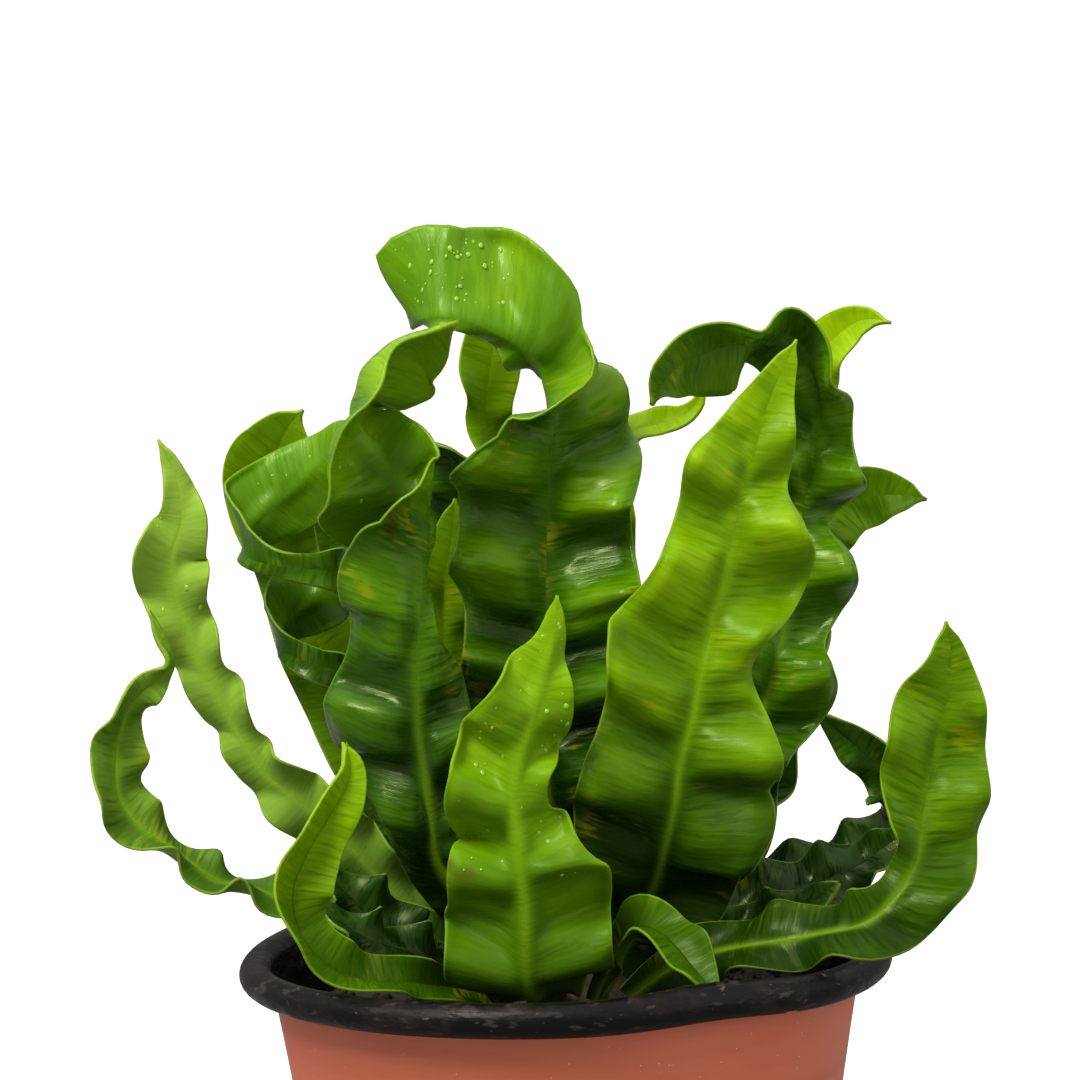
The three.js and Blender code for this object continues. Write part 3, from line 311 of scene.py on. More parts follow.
def follow(points, t):
    """A smooth curve through the rows of points, at the shares t of its run."""
    last = len(points) - 1
    ends = np.vstack([2 * points[0] - points[1], points, 2 * points[last] - points[last - 1]])
    place = np.clip(t, 0, 1) * last
    step = np.minimum(place.astype(int), last - 1)
    part = (place - step)[:, None]
    p0, p1, p2, p3 = (ends[step + k] for k in range(4))
    out, back = (p2 - p0) / 2, (p3 - p1) / 2
    return (p1 + part * out + part**2 * (3 * p2 - 3 * p1 - 2 * out - back)
            + part**3 * (2 * p1 - 2 * p2 + out + back))


def rows_of(stations):
    """Stations as rows of x, y, z, left width, right width and roll, with what they leave out filled in."""
    rows = []
    for x, y, z, *shape in stations:
        if len(shape) < 3:
            shape = (shape[0], shape[0], shape[1] if len(shape) > 1 else 0)
        rows.append((x, y, z, *shape))
    return np.array(rows, float)


def unit(rows):
    return rows / np.linalg.norm(rows, axis=1)[:, None]


def pot_wall(sizes, height):
    """The outer radius of the pot's wall at a height, in metres."""
    mouth = sizes.rim_radius - sizes.rim_bead
    return sizes.base_radius + (mouth - sizes.base_radius) * height / (sizes.height - sizes.rim_bead)


def warp_rim(sizes, places):
    """Bends the upper part of the pot, or of the soil in it, as the soft rim is bent."""
    x, y, z = places.T
    radius = np.hypot(x, y)
    around = np.arctan2(y, x)
    share = smooth(SOFT_FROM, sizes.height, z) * smooth(0.45, 0.7, radius / sizes.rim_radius)
    dent = np.exp(-(((around - math.radians(-63)) / math.radians(15)) ** 2))
    inward = 1 - 0.004 * dent * share / sizes.rim_radius
    sag = -0.002 * np.cos(around) ** 2 + 0.0005 * np.cos(around) + 0.0013 * dent
    return np.column_stack([x * inward, y * inward, z + sag * share])


def places_of(mesh):
    places = np.empty(len(mesh.vertices) * 3)
    mesh.vertices.foreach_get("co", places)
    return places.reshape(-1, 3)


def set_places(mesh, places):
    mesh.vertices.foreach_set("co", places.astype(np.float32).ravel())
    mesh.update()


def mesh_of(shape, name):
    """A new mesh from a finished bmesh, which is then freed."""
    mesh = bpy.data.meshes.new(name)
    shape.to_mesh(mesh)
    shape.free()
    return mesh


def spun_mesh(name, profile, steps):
    """A closed body of revolution from (radius, height) pairs that start and end on the axis."""
    shape = bmesh.new()
    points = [shape.verts.new((radius, 0, height)) for radius, height in profile]
    edges = [shape.edges.new(pair) for pair in zip(points, points[1:])]
    bmesh.ops.spin(shape, geom=points + edges, axis=(0, 0, 1), cent=(0, 0, 0), dvec=(0, 0, 0),
                   angle=2 * math.pi, steps=steps, use_merge=True, use_duplicate=False)
    bmesh.ops.remove_doubles(shape, verts=shape.verts, dist=1e-6)
    bmesh.ops.recalc_face_normals(shape, faces=shape.faces)
    return mesh_of(shape, name)


def finished(name, mesh, materials, slot, *nodes):
    """Puts a finished mesh into the scene in place of the solids it stands for."""
    for material in materials:
        mesh.materials.append(material)
    for face in mesh.polygons:
        face.use_smooth = True
    piece = bpy.data.objects.new(name, mesh)
    bpy.context.scene.collection.objects.link(piece)
    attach(piece, "root")
    if nodes:
        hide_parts(*nodes)
    return piece


# Materials


class Recipe:
    """A material's node tree, written a step at a time."""

    def __init__(self, name):
        self.material = bpy.data.materials.new(name)
        self.material.use_nodes = True
        self.tree = self.material.node_tree
        self.tree.nodes.clear()
        self.out = self.step("OutputMaterial")

    def step(self, kind, settings=None, **values):
        made = self.tree.nodes.new("ShaderNode" + kind)
        for key, value in (settings or {}).items():
            setattr(made, key, value)
        for key, value in values.items():
            name = key.replace("_", " ")
            socket = made.inputs[int(key[1:])] if key[1:].isdigit() else made.inputs[name]
            self.fill(socket, value)
        return made

    def fill(self, socket, value):
        if isinstance(value, bpy.types.NodeSocket):
            self.tree.links.new(value, socket)
        else:
            socket.default_value = value

    def calc(self, operation, a, b=0.0, c=None, clamp=False):
        made = self.step("Math", {"operation": operation, "use_clamp": clamp}, i0=a, i1=b)
        if c is not None:
            self.fill(made.inputs[2], c)
        return made.outputs[0]

    def mix(self, share, a, b):
        made = self.step("Mix", {"data_type": "RGBA"}, i0=share, i6=a, i7=b)
        return made.outputs[2]

    def ramp(self, share, stops):
        made = self.step("ValToRGB", i0=share)
        while len(made.color_ramp.elements) < len(stops):
            made.color_ramp.elements.new(0.5)
        for element, (place, colour) in zip(made.color_ramp.elements, stops):
            element.position = place
            element.color = colour
        return made.outputs[0]

    def between(self, value, low, high, to_low=0.0, to_high=1.0):
        made = self.step("MapRange", {"interpolation_type": "SMOOTHSTEP"}, i0=value, i1=low, i2=high,
                         i3=to_low, i4=to_high)
        return made.outputs[0]

    def noise(self, vector, scale, detail=2.0, roughness=0.5):
        made = self.step("TexNoise", Vector=vector, Scale=scale, Detail=detail, Roughness=roughness)
        return made.outputs[0]

    def own(self, name):
        return self.step("Attribute", {"attribute_name": name}).outputs["Fac"]

    def place(self):
        return self.step("TexCoord").outputs["Object"]

    def bump(self, height, depth, strength):
        return self.step("Bump", Strength=strength, Distance=depth, Height=height).outputs[0]

    def surface(self, **values):
        shader = self.step("BsdfPrincipled", **values)
        self.tree.links.new(shader.outputs[0], self.out.inputs["Surface"])
        return self.material


def tint(code):
    """A linear colour from a screen colour written as six hexadecimal digits."""
    parts = [int(code[k:k + 2], 16) / 255 for k in (0, 2, 4)]
    linear = [part / 12.92 if part <= 0.04045 else ((part + 0.055) / 1.055) ** 2.4 for part in parts]
    return (*linear, 1.0)


LEAF_TONES = {
    "dark": [(0.0, "061700"), (0.3, "1e3f00"), (0.6, "426e00"), (1.0, "7aa004")],
    "light": [(0.0, "142b00"), (0.3, "345600"), (0.6, "5c8200"), (1.0, "90b204")],
    "pale": [(0.0, "1c3806"), (0.3, "3d5f12"), (0.6, "688a24"), (1.0, "96b244")],
}
LEAF_GLOSS = {"dark": 0.24, "light": 0.32, "pale": 0.45}


def leaf_material(finish, under=False):
    """A leaf's skin: slanting side veins, a pale midrib, a pale margin that is partly a painted highlight, painted
    shade in the fine pleat hollows by the midrib, and a colour that runs with the frond.
    """
    r = Recipe("leaf_" + finish + ("_under" if under else ""))
    uv = r.step("UVMap", {"uv_map": "blade"}).outputs[0]
    split = r.step("SeparateXYZ", i0=uv)
    across, along = split.outputs[0], split.outputs[1]
    reach = r.calc("ABSOLUTE", across)
    half = r.calc("MULTIPLY", r.calc("SIGN", across), 3.7)
    vein_run = r.calc("MULTIPLY_ADD", reach, -0.25, along)
    streak_place = r.step("CombineXYZ", X=r.calc("MULTIPLY", vein_run, 110.0), Y=r.calc("MULTIPLY", reach, 12.0),
                          Z=half)
    band_place = r.step("CombineXYZ", X=r.calc("MULTIPLY", vein_run, 15.0), Y=r.calc("MULTIPLY", reach, 9.0), Z=half)
    fine = r.between(r.noise(streak_place.outputs[0], 1.0, 3.0, 0.6), 0.35, 0.65)
    bands = r.noise(band_place.outputs[0], 1.0, 2.0)
    # Painted shade: a comb of short dark ticks by the midrib, the hollows of the fine pleats darkened in the colour;
    # the same comb also raises the bump.
    comb_relief_and_shade = r.calc("SINE", r.calc("MULTIPLY_ADD", vein_run, 245.0, r.calc("MULTIPLY", bands, 9.0)))
    comb_relief_and_shade = r.calc("MULTIPLY", r.between(comb_relief_and_shade, 0.25, 1.0), r.between(bands, 0.42, 0.62))
    comb_relief_and_shade = r.calc("MULTIPLY", comb_relief_and_shade, r.calc("MULTIPLY", r.between(reach, 0.01, 0.03), r.between(reach, 0.15, 0.05)))
    cloud = r.noise(r.place(), 45.0, 2.0)
    rib_line = r.calc("POWER", EULER, r.calc("MULTIPLY", r.calc("POWER", r.calc("DIVIDE", reach, 0.012), 2.0), -1.0))
    rib = r.calc("MULTIPLY", rib_line, r.own("rib_shows"))
    # The pale margin is partly the blade's own paler edge and partly a painted highlight along the edge.
    edge = r.between(r.own("reach"), 0.975, 0.999)

    tone_and_shade = r.own("tone_and_shade")
    tone_and_shade = r.calc("MULTIPLY_ADD", r.calc("SUBTRACT", bands, 0.5), 0.3, tone_and_shade)
    tone_and_shade = r.calc("MULTIPLY_ADD", r.calc("SUBTRACT", fine, 0.5), 0.07, tone_and_shade)
    # Painted shade in the fine pleat hollows by the midrib.
    tone_and_shade = r.calc("MULTIPLY_ADD", comb_relief_and_shade, -0.13, tone_and_shade)
    tone_and_shade = r.calc("MULTIPLY_ADD", r.calc("SUBTRACT", cloud, 0.5), 0.3, tone_and_shade)
    colour = r.ramp(tone_and_shade, [(place, tint(code)) for place, code in LEAF_TONES[finish]])
    patches = r.between(r.noise(r.place(), 60.0, 2.0), 0.55, 0.7)
    yellow = r.calc("MULTIPLY", r.between(r.calc("MULTIPLY_ADD", fine, 0.3, bands), 0.68, 0.85), patches)
    colour = r.mix(r.calc("MULTIPLY", yellow, r.own("yellow"), clamp=True), colour, tint("9c960a"))
    colour = r.mix(r.own("scar"), colour, tint("3b2410"))
    colour = r.mix(r.calc("MULTIPLY", rib, 0.45), colour, tint("76a012"))
    # Pale margin, partly a painted highlight along the edge.
    colour = r.mix(r.calc("MULTIPLY", edge, 0.4), colour, tint("86a52c"))
    if under:
        colour = r.mix(0.3, colour, tint("5f8f0c" if finish != "pale" else "86a83c"))
    grain = r.noise(r.place(), 1400.0, 2.0)
    skin = r.calc("MULTIPLY_ADD", bands, 2.0, r.calc("MULTIPLY_ADD", grain, 0.3, fine))
    normal = r.bump(r.calc("MULTIPLY_ADD", comb_relief_and_shade, -0.6, skin), 0.00012, 0.27)
    gloss = LEAF_GLOSS[finish] + (0.06 if under else 0.0)
    roughness = r.between(r.calc("MULTIPLY_ADD", cloud, 0.6, fine), 0.5, 1.1, gloss - 0.05, gloss + 0.14)
    return r.surface(Base_Color=colour, Roughness=roughness, Normal=normal, Specular_Tint=(0.8, 1.0, 0.45, 1.0),
                     Specular_IOR_Level=0.24 if finish == "dark" else 0.12)


def plastic_body(sizes):
    """Satin terracotta plastic with cloudy scuffs, drawn lines round it and small pale flecks painted bright as
    glints.
    """
    r = Recipe("terracotta_plastic")
    place = r.place()
    cloud = r.noise(place, 22.0, 4.0, 0.6)
    squeezed = r.step("Mapping", Vector=place, Scale=(1, 1, 9)).outputs[0]
    rings = r.noise(squeezed, 26.0, 3.0)
    grain = r.noise(place, 900.0, 2.0)
    colour = r.mix(r.between(cloud, 0.35, 0.7), tuple(sizes.body_colour), tint("bb5a3c"))
    colour = r.mix(r.between(rings, 0.45, 0.8, 0, 0.25), colour, tint("8c3520"))
    # Painted highlight: sparse small flecks painted near white as glints.
    specks = r.step("TexVoronoi", {"feature": "F1"}, Vector=place, Scale=620.0).outputs[0]
    painted_glint = r.between(specks, 0.09, 0.05)
    some = r.between(r.noise(place, 160.0, 0.0), 0.52, 0.62)
    colour = r.mix(r.calc("MULTIPLY", r.calc("MULTIPLY", painted_glint, some), 0.9), colour, tint("f0cdb8"))
    height = r.calc("MULTIPLY_ADD", grain, 0.5, cloud)
    return r.surface(Base_Color=colour, Roughness=r.between(cloud, 0.3, 0.7, 0.42, 0.6),
                     Normal=r.bump(height, 0.0002, 0.4))


def plastic_lining(sizes):
    """Black plastic, scuffed grey-brown on the roll, with small scratches painted light grey, partly as wear and
    partly as their glints.
    """
    r = Recipe("black_plastic")
    place = r.place()
    scuffs = r.noise(place, 60.0, 5.0, 0.65)
    dust = r.noise(r.step("Mapping", Vector=place, Scale=(1, 1, 3)).outputs[0], 190.0, 3.0)
    nicks_and_glints = r.noise(r.step("Mapping", Vector=place, Scale=(1, 1, 2.4)).outputs[0], 420.0, 2.0)
    colour = r.mix(r.between(scuffs, 0.47, 0.62, 0, 0.8), tuple(sizes.lining_colour), tint("1f1712"))
    colour = r.mix(r.between(dust, 0.58, 0.7, 0, 0.45), colour, tint("423a32"))
    # Scratches painted light grey: partly wear, partly painted glints.
    colour = r.mix(r.between(nicks_and_glints, 0.69, 0.75, 0, 0.5), colour, tint("5e574e"))
    return r.surface(Base_Color=colour, Roughness=r.between(scuffs, 0.35, 0.7, 0.3, 0.6),
                     Normal=r.bump(r.calc("ADD", scuffs, dust), 0.0004, 0.8), Specular_IOR_Level=0.12)


def earth_material(sizes):
    """Moist peat with bark and fibre bits."""
    r = Recipe("potting_mix")
    place = r.place()
    lumps = r.noise(place, 260.0, 5.0, 0.7)
    bits = r.noise(place, 90.0, 3.0)
    colour = r.mix(r.between(lumps, 0.4, 0.75), tuple(sizes.soil_colour), tint("33281f"))
    colour = r.mix(r.between(bits, 0.6, 0.75, 0, 0.5), colour, tint("4a3b2d"))
    return r.surface(Base_Color=colour, Roughness=0.9, Normal=r.bump(lumps, 0.0009, 0.9))


def crown_material(sizes):
    """A fibrous brown crown with dark scales."""
    r = Recipe("crown_scales")
    place = r.place()
    fibre = r.noise(r.step("Mapping", Vector=place, Scale=(6, 6, 1)).outputs[0], 120.0, 4.0)
    patch = r.noise(place, 70.0, 3.0)
    colour = r.mix(r.between(fibre, 0.35, 0.7), tuple(sizes.crown_colour), tint("4b3420"))
    colour = r.mix(r.between(patch, 0.55, 0.75, 0, 0.6), colour, tint("2b3a14"))
    return r.surface(Base_Color=colour, Roughness=0.8, Normal=r.bump(fibre, 0.0008, 0.8))


def water_material():
    """A bead of water, lit green from the blade below it."""
    r = Recipe("water")
    colour = r.mix(r.noise(r.place(), 500.0), tint("6a9418"), tint("8db53a"))
    return r.surface(Base_Color=colour, Roughness=0.04, IOR=1.33, Specular_IOR_Level=0.9)


# Pieces


class FERN_OT_pot(bpy.types.Operator):
    """Spins the thin pot with its rolled rim, bends the rim and cuts the drain holes"""

    bl_idname = "fern.pot"
    bl_label = "Pot"

    def execute(self, context):
        sizes = context.scene.fern_pot
        wall, bead = sizes.wall, sizes.rim_bead / 2
        under = sizes.height - sizes.rim_bead
        middle = (sizes.rim_radius - bead, sizes.height - bead)
        roll = [(middle[0] + bead * math.cos(math.radians(turn)), middle[1] + bead * math.sin(math.radians(turn)))
                for turn in range(-100, 191, 15)]
        rises = [k / 10 * (under - 0.004) + 0.0015 for k in range(11)]
        outer = [(pot_wall(sizes, height), height) for height in rises] + [(pot_wall(sizes, under), under)]
        inner = [(radius - wall, height) for radius, height in reversed(outer) if height > 0.006]
        foot = pot_wall(sizes, POT_FLOOR) - wall - 0.001
        profile = [(0, 0), (0.016, 0), (0.0185, 0.0025), (0.0375, 0.0025), (0.04, 0), (0.0485, 0), (0.051, 0.0003),
                   *outer, *roll, *inner, (foot, POT_FLOOR), (0.03, POT_FLOOR), (0, POT_FLOOR)]
        mesh = spun_mesh("pot", profile, 160)
        places = places_of(mesh)
        x, y, z = places.T
        around = np.arctan2(y, x)
        crease = np.exp(-(((around - math.radians(-55)) / math.radians(9)) ** 2)) * smooth(0.035, 0.112, z)
        crease = crease * (1 - smooth(0.112, 0.12, z))
        slack = np.sin(2 * around + 0.8) * smooth(0, 0.07, z) * (1 - smooth(0.09, 0.12, z))
        places[:, :2] *= (1 - (0.0011 * crease + 0.0004 * slack) / 0.068)[:, None]
        set_places(mesh, warp_rim(sizes, places))
        cutter = bmesh.new()
        for k in range(DRAIN_HOLES):
            angle = (k + 0.5) / DRAIN_HOLES * 2 * math.pi
            at = Matrix.Translation((DRAIN_RING * math.cos(angle), DRAIN_RING * math.sin(angle), 0.004))
            bmesh.ops.create_cone(cutter, cap_ends=True, segments=24, radius1=DRAIN_RADIUS, radius2=DRAIN_RADIUS,
                                  depth=0.02, matrix=at)
        tool = bpy.data.objects.new("drain_holes", mesh_of(cutter, "drain_holes"))
        body = bpy.data.objects.new("uncut_pot", mesh)
        for made in (tool, body):
            context.scene.collection.objects.link(made)
        cut = body.modifiers.new("holes", "BOOLEAN")
        cut.operation, cut.solver, cut.object = "DIFFERENCE", "EXACT", tool
        drilled = bpy.data.meshes.new_from_object(body.evaluated_get(context.evaluated_depsgraph_get()))
        for made in (tool, body):
            bpy.data.objects.remove(made)
        drilled.name = "fine_pot"
        pot = finished("fine_pot", drilled, [plastic_body(sizes), plastic_lining(sizes)], "pot", "pot")
        for face in pot.data.polygons:
            centre, normal = face.center, face.normal
            outward = normal.x * centre.x + normal.y * centre.y > 0 or centre.z < 0.001
            plain = centre.z < under + 0.0006 and math.hypot(centre.x, centre.y) < sizes.rim_radius - 0.003
            face.material_index = 0 if outward and plain and normal.z < 0.6 else 1
        return {"FINISHED"}


class FERN_OT_mix(bpy.types.Operator):
    """Fills the pot with crumbly potting mix"""

    bl_idname = "fern.mix"
    bl_label = "Potting mix"

    def execute(self, context):
        pot, bed = context.scene.fern_pot, context.scene.fern_bed
        gap = pot.wall + 0.0005
        edge = pot_wall(pot, bed.top) - gap
        rings = np.linspace(edge, 0, 46)
        top = [(radius, bed.top + bed.mound * math.exp(-((radius / MOUND_REACH) ** 2))) for radius in rings]
        profile = [(0, 0.006), (pot_wall(pot, 0.006) - gap - 0.001, 0.006),
                   (pot_wall(pot, SOFT_FROM) - gap, SOFT_FROM), *top]
        mesh = spun_mesh("potting_mix", profile, 150)
        places = places_of(mesh)
        x, y, z = places.T / MM
        clods = np.sin(x / 7 + 1) * np.cos(y / 6) + 0.6 * np.sin((x + y) / 4.3)
        upper = z > 110
        rough = np.array([noise.noise(Vector(place) / 0.0035) for place in places])
        places[:, 2] += np.where(upper, 0.0009 * clods + 0.0007 * rough, 0)
        set_places(mesh, warp_rim(pot, places))
        shape = bmesh.new()
        shape.from_mesh(mesh)
        chance = random.Random(7)
        for _ in range(bed.crumbs):
            radius = math.sqrt(chance.uniform(0.1, 1)) * (edge - 0.003)
            angle = chance.uniform(0, 2 * math.pi)
            spot = (radius * math.cos(angle), radius * math.sin(angle))
            lift = math.sin(spot[0] / 0.007 + 1) * math.cos(spot[1] / 0.006)
            lift += 0.6 * math.sin((spot[0] + spot[1]) / 0.0043)
            level = bed.top + bed.mound * math.exp(-((radius / MOUND_REACH) ** 2)) + 0.0009 * lift
            size = chance.uniform(0.0006, 0.0017)
            turn = Matrix.Rotation(chance.uniform(0, 6.28), 4, Vector((chance.random(), chance.random(), 0.3)))
            stretch = Matrix.Diagonal((1, chance.uniform(0.6, 1.1), chance.uniform(0.5, 0.9), 1))
            at = Matrix.Translation((*spot, level + size * 0.2)) @ turn @ stretch
            bmesh.ops.create_icosphere(shape, subdivisions=1, radius=size, matrix=at)
        shape.to_mesh(mesh)
        shape.free()
        finished("fine_potting_mix", mesh, [earth_material(bed)], "soil", "potting_mix")
        return {"FINISHED"}


class FERN_OT_crown(bpy.types.Operator):
    """Makes the knobbly crown that the fronds stand in"""

    bl_idname = "fern.crown"
    bl_label = "Crown"

    def execute(self, context):
        bed = context.scene.fern_bed
        radius, top = bed.crown_radius - 0.0006, bed.crown_top - 0.0006
        heights = [(0, 0.1), (0.8, 0.1), (0.95, 0.104), (1, 0.109), (1, 0.115), (0.95, 0.118), (0.86, 0.12),
                   (0.72, top - 0.0065), (0.55, top - 0.003), (0.4, top - 0.0015), (0.25, top - 0.0005), (0, top)]
        mesh = spun_mesh("crown", [(share * radius, height) for share, height in heights], 90)
        shape = bmesh.new()
        shape.from_mesh(mesh)
        bmesh.ops.subdivide_edges(shape, edges=shape.edges, cuts=1, use_grid_fill=True, smooth=0.6)
        shape.to_mesh(mesh)
        shape.free()
        places = places_of(mesh)
        around = np.arctan2(places[:, 1], places[:, 0])
        knob = 1 + 0.05 * np.sin(5 * around) + 0.03 * np.sin(3 * around + 1)
        rough = np.array([noise.noise(Vector((p[0], p[1], p[2] * 0.4)) / 0.0022) for p in places])
        knob = knob + 0.025 * (rough - 0.5)
        places[:, :2] = places[:, :2] * knob[:, None] - 0.001
        set_places(mesh, places)
        finished("fine_crown", mesh, [crown_material(bed)], "crown", "crown")
        return {"FINISHED"}


def frond_surface(frond, across, along):
    """The mid surface of a frond: across -1 to 1 from left to right, along 0 to 1 to the tip.

    Gives the places, the half widths and the length in millimetres, and how far each place swells between veins.
    """
    stations = rows_of(frond["stations"])
    spots, shapes = stations[:, :3], stations[:, 3:]
    run = np.linspace(0, 1, 201)
    steps = np.linalg.norm(np.diff(follow(spots, run), axis=0), axis=1)
    reached = np.concatenate([[0], np.cumsum(steps)])
    length = reached[-1]
    t = np.interp(along * length, reached, run)
    middle = follow(spots, t)
    tangent = unit(follow(spots, np.minimum(t + 1e-4, 1)) - follow(spots, np.maximum(t - 1e-4, 0)))
    left, right, roll = follow(shapes, t).T
    roll = np.radians(roll)[:, None]
    face = np.array(frond["face"], float)
    front = unit(face - (tangent @ face)[:, None] * tangent)
    beside = np.cross(tangent, front)
    side = beside * np.cos(roll) + front * np.sin(roll)
    normal = front * np.cos(roll) - beside * np.sin(roll)

    width = np.where(across < 0, left, right) * (1 - 0.75 * smooth(0.97, 1, along))
    reach = np.abs(across)
    fold, cup = math.radians(frond["fold"]), math.radians(frond["cup"])
    out = width * (np.sin(fold + cup * reach) - math.sin(fold)) / cup
    lift = width * (math.cos(fold) - np.cos(fold + cup * reach)) / cup
    held = smooth(0.04, 0.2, along) * (1 - smooth(0.8, 1, along))
    lag = np.where(across < 0, frond["lag"], 0)
    waves = along * length / frond["pitch"] + frond["start"] - lag - 0.15 * reach
    phase = 2 * math.pi * waves
    wave = frond["ripple"] * held * reach**1.6
    crest = np.sin(phase + 0.35 * np.sin(phase))
    broad = smooth(4, 16, width)
    vein = along * length - 0.35 * reach * width
    fine = np.sin(vein / 0.9 + np.where(across < 0, 1.3, 0) + 1.5 * np.sin(vein / 5.3))
    pillow = 1.3 - 2 * np.abs(np.sin(phase / 2 - 0.6 + 0.5 * np.sin(vein / 11)))**3
    crease = 1 - 2 * np.abs(np.sin(vein / 3.1 + np.sin(vein / 7.3 + 0.9)))
    between = smooth(0.04, 0.3, reach) * (1 - smooth(0.8, 1, reach)) * held * broad
    relief = -frond["pleat"] * between * (0.14 * fine - 2.8 * pillow + 0.6 * crease)
    places = (middle + (np.sign(across) * out)[:, None] * side
              + (lift + wave * crest + relief)[:, None] * normal
              + (0.5 * frond["lean"] * wave * np.cos(phase))[:, None] * tangent)
    return places, width, length, between * (pillow - 0.3)


class FERN_OT_fronds(bpy.types.Operator):
    """Makes every waved frond as a thin blade with a thicker midrib"""

    bl_idname = "fern.fronds"
    bl_label = "Fronds"

    def execute(self, context):
        sizes = context.scene.fern_frond
        skins = {finish: [leaf_material(finish), leaf_material(finish, under=True)] for finish in LEAF_TONES}
        for name, frond in FRONDS.items():
            spots = rows_of(frond["stations"])[:, :3]
            about = np.linalg.norm(np.diff(spots, axis=0), axis=1).sum() * MM
            shape = bmesh.new()
            bmesh.ops.create_grid(shape, x_segments=sizes.columns, y_segments=round(about / sizes.spacing), size=1)
            mesh = mesh_of(shape, "fine_" + name)
            grid = places_of(mesh)
            across = grid[:, 0] - 0.07 * np.sin(2 * math.pi * grid[:, 0])
            along = np.clip((grid[:, 1] + 1) / 2, 0, 1)
            places, width, length, swell_for_shade = frond_surface(frond, across, along)
            set_places(mesh, places * MM)

            reach = np.abs(across)
            rib_share = (1 - 0.7 * along) * np.exp(-((reach * width * MM / sizes.rib_reach) ** 2))
            thin = sizes.blade + (sizes.margin - sizes.blade) * smooth(0.8, 1, reach)
            thick = thin + (sizes.rib - thin) * rib_share
            # Painted shade: the tone is raised on the pleats' swells and lowered in the hollows between them.
            tone_and_shade = np.interp(along, [0, 0.5, 1], frond["tones"]) + 0.08 * reach + 0.16 * frond["pleat"] * swell_for_shade
            # Painted shade: the tone is lowered below 125 to 170 mm, near the soil, where the inside of the nest lies
            # in shadow.
            tone_and_shade -= 0.3 * (1 - smooth(0.125, 0.17, places[:, 2] * MM))
            rib_shows = 1 - smooth(frond["rib_until"] - 0.25, frond["rib_until"] + 0.1, along)
            scar = np.zeros(len(reach))
            if name in SCARS:
                begin, end, wide, strength = SCARS[name]
                begin, end, flat = np.array(begin), np.array(end), places[:, [0, 2]]
                share = np.clip((flat - begin) @ (end - begin) / ((end - begin) @ (end - begin)), 0, 1)
                apart = np.linalg.norm(flat - begin - share[:, None] * (end - begin), axis=1)
                scar = strength * (1 - smooth(wide, wide + SCAR_FADE, apart))
            for label, values in (("tone_and_shade", tone_and_shade), ("scar", scar), ("rib_shows", rib_shows), ("reach", reach),
                                  ("yellow", np.full(len(reach), frond["yellow"]))):
                mesh.attributes.new(label, "FLOAT", "POINT").data.foreach_set("value", values.astype(np.float32))
            corner = np.empty(len(mesh.loops), int)
            mesh.loops.foreach_get("vertex_index", corner)
            flat = np.column_stack([across * width * MM * UV_SCALE, along * length * MM * UV_SCALE])[corner]
            mesh.uv_layers.new(name="blade").data.foreach_set("uv", flat.astype(np.float32).ravel())

            piece = finished("fine_frond_" + name, mesh, skins[frond["finish"]], "leaf_" + frond["finish"],
                             "frond_" + name)
            group = piece.vertex_groups.new(name="thickness")
            shares = np.round(thick / sizes.rib, 3)
            for share in np.unique(shares):
                group.add(np.flatnonzero(shares == share).tolist(), float(share), "REPLACE")
            shell = piece.modifiers.new("thickness", "SOLIDIFY")
            shell.thickness, shell.offset, shell.vertex_group = sizes.rib, 0, "thickness"
            shell.material_offset = 1
        return {"FINISHED"}


# Where water drops lie: along from and to, across from and to, which side (1 upper, -1 under), how many.
DROPS = {
    "tall_centre": (0.84, 0.96, -0.9, -0.15, -1, 60),
    "young_front": (0.45, 0.97, -0.85, 0.85, -1, 90),
    "twisted_left": (0.62, 0.8, -0.7, 0.7, -1, 16),
    "far_left": (0.7, 0.9, -0.8, 0.8, -1, 14),
    "spiral_left": (0.75, 0.9, -0.7, 0.7, -1, 12),
}
DROP_RADII = (0.16, 0.2, 0.25, 0.3, 0.4, 0.6)  # in millimetres
DROP_LIFT = 0.00003  # how far a drop's middle lies above the skin, in metres


class FERN_OT_drops(bpy.types.Operator):
    """Lays small water drops on some of the fronds"""

    bl_idname = "fern.drops"
    bl_label = "Water drops"

    def execute(self, context):
        sizes = context.scene.fern_frond
        chance = random.Random(11)
        shape = bmesh.new()
        for name, (low, high, left, right, side, count) in DROPS.items():
            along = np.array([chance.uniform(low, high) for _ in range(count)])
            across = np.array([chance.uniform(left, right) for _ in range(count)])
            here = frond_surface(FRONDS[name], across, along)[0]
            beside = frond_surface(FRONDS[name], across + 0.01, along)[0] - here
            ahead = frond_surface(FRONDS[name], across, along + 0.002)[0] - here
            for spot, x, y in zip(here, unit(beside), unit(ahead)):
                up = Vector(np.cross(x, y)).normalized() * side
                size = MM * chance.choice(DROP_RADII)
                turn = up.to_track_quat("Z", "Y").to_matrix().to_4x4()
                flat = Matrix.Diagonal((chance.uniform(0.8, 1.1), chance.uniform(1, 1.5), 0.5, 1))
                at = Matrix.Translation(Vector(spot) * MM + up * (sizes.blade / 2 + DROP_LIFT)) @ turn @ flat
                bmesh.ops.create_icosphere(shape, subdivisions=2, radius=size, matrix=at)
        finished("water_drops", mesh_of(shape, "water_drops"), [water_material()], "leaf_light")
        return {"FINISHED"}


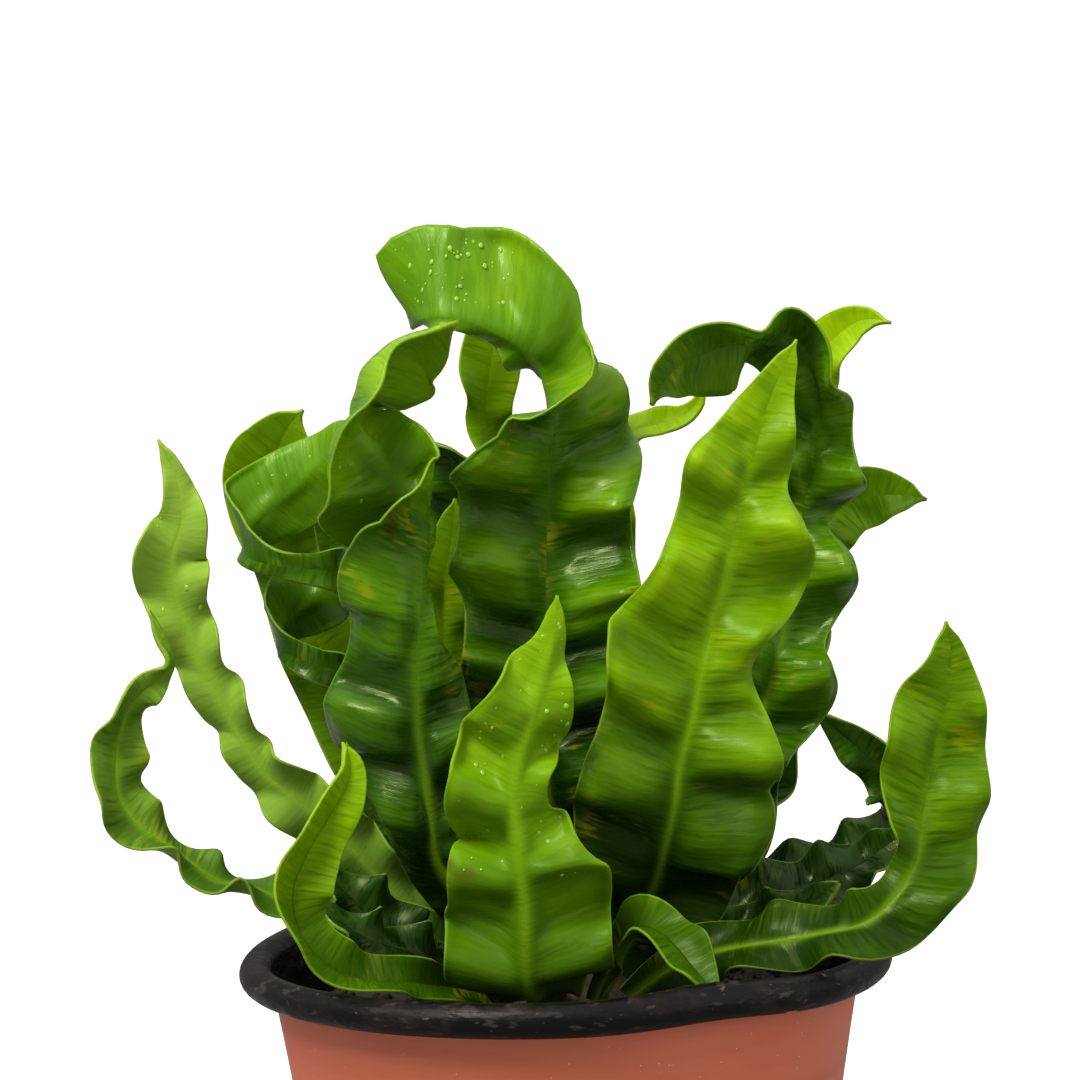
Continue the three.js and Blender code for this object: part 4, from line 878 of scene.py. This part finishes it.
class FERN_OT_stage(bpy.types.Operator):
    """Sets the pale floor, the soft lights and the camera"""

    bl_idname = "fern.stage"
    bl_label = "Stage"

    def execute(self, context):
        sizes = context.scene.fern_stage
        shape = bmesh.new()
        bmesh.ops.create_grid(shape, x_segments=8, y_segments=60, size=4)
        for point in shape.verts:
            point.co.z = -0.0003 + 0.35 * max(point.co.y - 1.2, 0) ** 2
        mesh = mesh_of(shape, "floor")
        floor = bpy.data.objects.new("floor", mesh)
        context.scene.collection.objects.link(floor)
        r = Recipe("pale_floor")
        seen = r.step("LightPath").outputs["Is Camera Ray"]
        shade = r.mix(seen, tint("8a8a8a"), r.mix(r.noise(r.place(), 3.0), tuple(sizes.floor), tint("fafafa")))
        mesh.materials.append(r.surface(Base_Color=shade, Roughness=0.9, Specular_IOR_Level=0.0))
        for face in mesh.polygons:
            face.use_smooth = True

        world = bpy.data.worlds.new("studio")
        world.use_nodes = True
        sky = world.node_tree
        height = sky.nodes.new("ShaderNodeSeparateXYZ")
        sky.links.new(sky.nodes.new("ShaderNodeTexCoord").outputs["Generated"], height.inputs[0])
        rise = sky.nodes.new("ShaderNodeMapRange")
        rise.inputs[1].default_value, rise.inputs[2].default_value = -0.1, 0.9
        rise.inputs[3].default_value, rise.inputs[4].default_value = 0.2 * sizes.sky, 1.5 * sizes.sky
        sky.links.new(height.outputs[2], rise.inputs[0])
        backdrop = sky.nodes.new("ShaderNodeMath")
        backdrop.operation = "MAXIMUM"
        sky.links.new(rise.outputs[0], backdrop.inputs[0])
        sky.links.new(sky.nodes.new("ShaderNodeLightPath").outputs["Is Camera Ray"], backdrop.inputs[1])
        sky.links.new(backdrop.outputs[0], sky.nodes["Background"].inputs[1])
        sky.nodes["Background"].inputs[0].default_value = (1, 1, 1, 1)
        context.scene.world = world
        for name, place, power, across in (("key", (-0.7, -0.75, 1.35), sizes.key, 0.6),
                                           ("fill", (1.1, -0.7, 0.6), sizes.fill, 1.2)):
            light = bpy.data.lights.new(name, "AREA")
            light.energy, light.size = power, across
            light.color = (1, 0.97, 0.9)
            lamp = bpy.data.objects.new(name, light)
            lamp.location = place
            lamp.rotation_euler = (Vector((0, 0, 0.18)) - Vector(place)).to_track_quat("-Z", "Y").to_euler()
            context.scene.collection.objects.link(lamp)

        camera = bpy.data.cameras.new("camera")
        camera.sensor_width, camera.lens, camera.clip_start = 36, sizes.lens, 0.01
        view = bpy.data.objects.new("camera", camera)
        pitch, turn = math.radians(CAMERA_PITCH), math.radians(CAMERA_TURN)
        aim = Vector((0, math.cos(pitch), -math.sin(pitch)))
        up = Vector((0, math.sin(pitch), math.cos(pitch)))
        right = Vector((1, 0, 0)) * math.cos(turn) - up * math.sin(turn)
        up = up * math.cos(turn) + Vector((1, 0, 0)) * math.sin(turn)
        facing = Matrix((right, up, -aim)).transposed().to_4x4()
        view.matrix_world = Matrix.Translation(CAMERA_PLACE) @ facing
        context.scene.collection.objects.link(view)
        context.scene.camera = view
        context.scene.view_settings.view_transform = "Standard"
        return {"FINISHED"}


class FERN_PT_panel(bpy.types.Panel):
    bl_label = "Bird's nest fern"
    bl_idname = "FERN_PT_panel"
    bl_space_type = "VIEW_3D"
    bl_region_type = "UI"
    bl_category = "Fern"

    def draw(self, context):
        for title, group, pieces in PARTS:
            box = self.layout.box()
            box.label(text=title)
            sizes = getattr(context.scene, group)
            for name in sizes.__annotations__:
                box.prop(sizes, name)
            for piece in pieces:
                box.operator(piece)


GROUPS = {"fern_pot": PotSizes, "fern_bed": BedSizes, "fern_frond": FrondSizes, "fern_stage": StageSizes}
PARTS = (
    ("Pot", "fern_pot", ["fern.pot"]),
    ("Potting mix and crown", "fern_bed", ["fern.mix", "fern.crown"]),
    ("Fronds", "fern_frond", ["fern.fronds", "fern.drops"]),
    ("Stage", "fern_stage", ["fern.stage"]),
)
CLASSES = (*GROUPS.values(), FERN_OT_pot, FERN_OT_mix, FERN_OT_crown, FERN_OT_fronds, FERN_OT_drops,
           FERN_OT_stage, FERN_PT_panel)


def register():
    for made in CLASSES:
        bpy.utils.register_class(made)
    for name, group in GROUPS.items():
        setattr(bpy.types.Scene, name, PointerProperty(type=group))


def unregister():
    for name in GROUPS:
        delattr(bpy.types.Scene, name)
    for made in reversed(CLASSES):
        bpy.utils.unregister_class(made)


def main():
    register()
    bpy.ops.fern.pot()
    bpy.ops.fern.mix()
    bpy.ops.fern.crown()
    bpy.ops.fern.fronds()
    bpy.ops.fern.drops()
    bpy.ops.fern.stage()


if __name__ == "__main__":
    main()
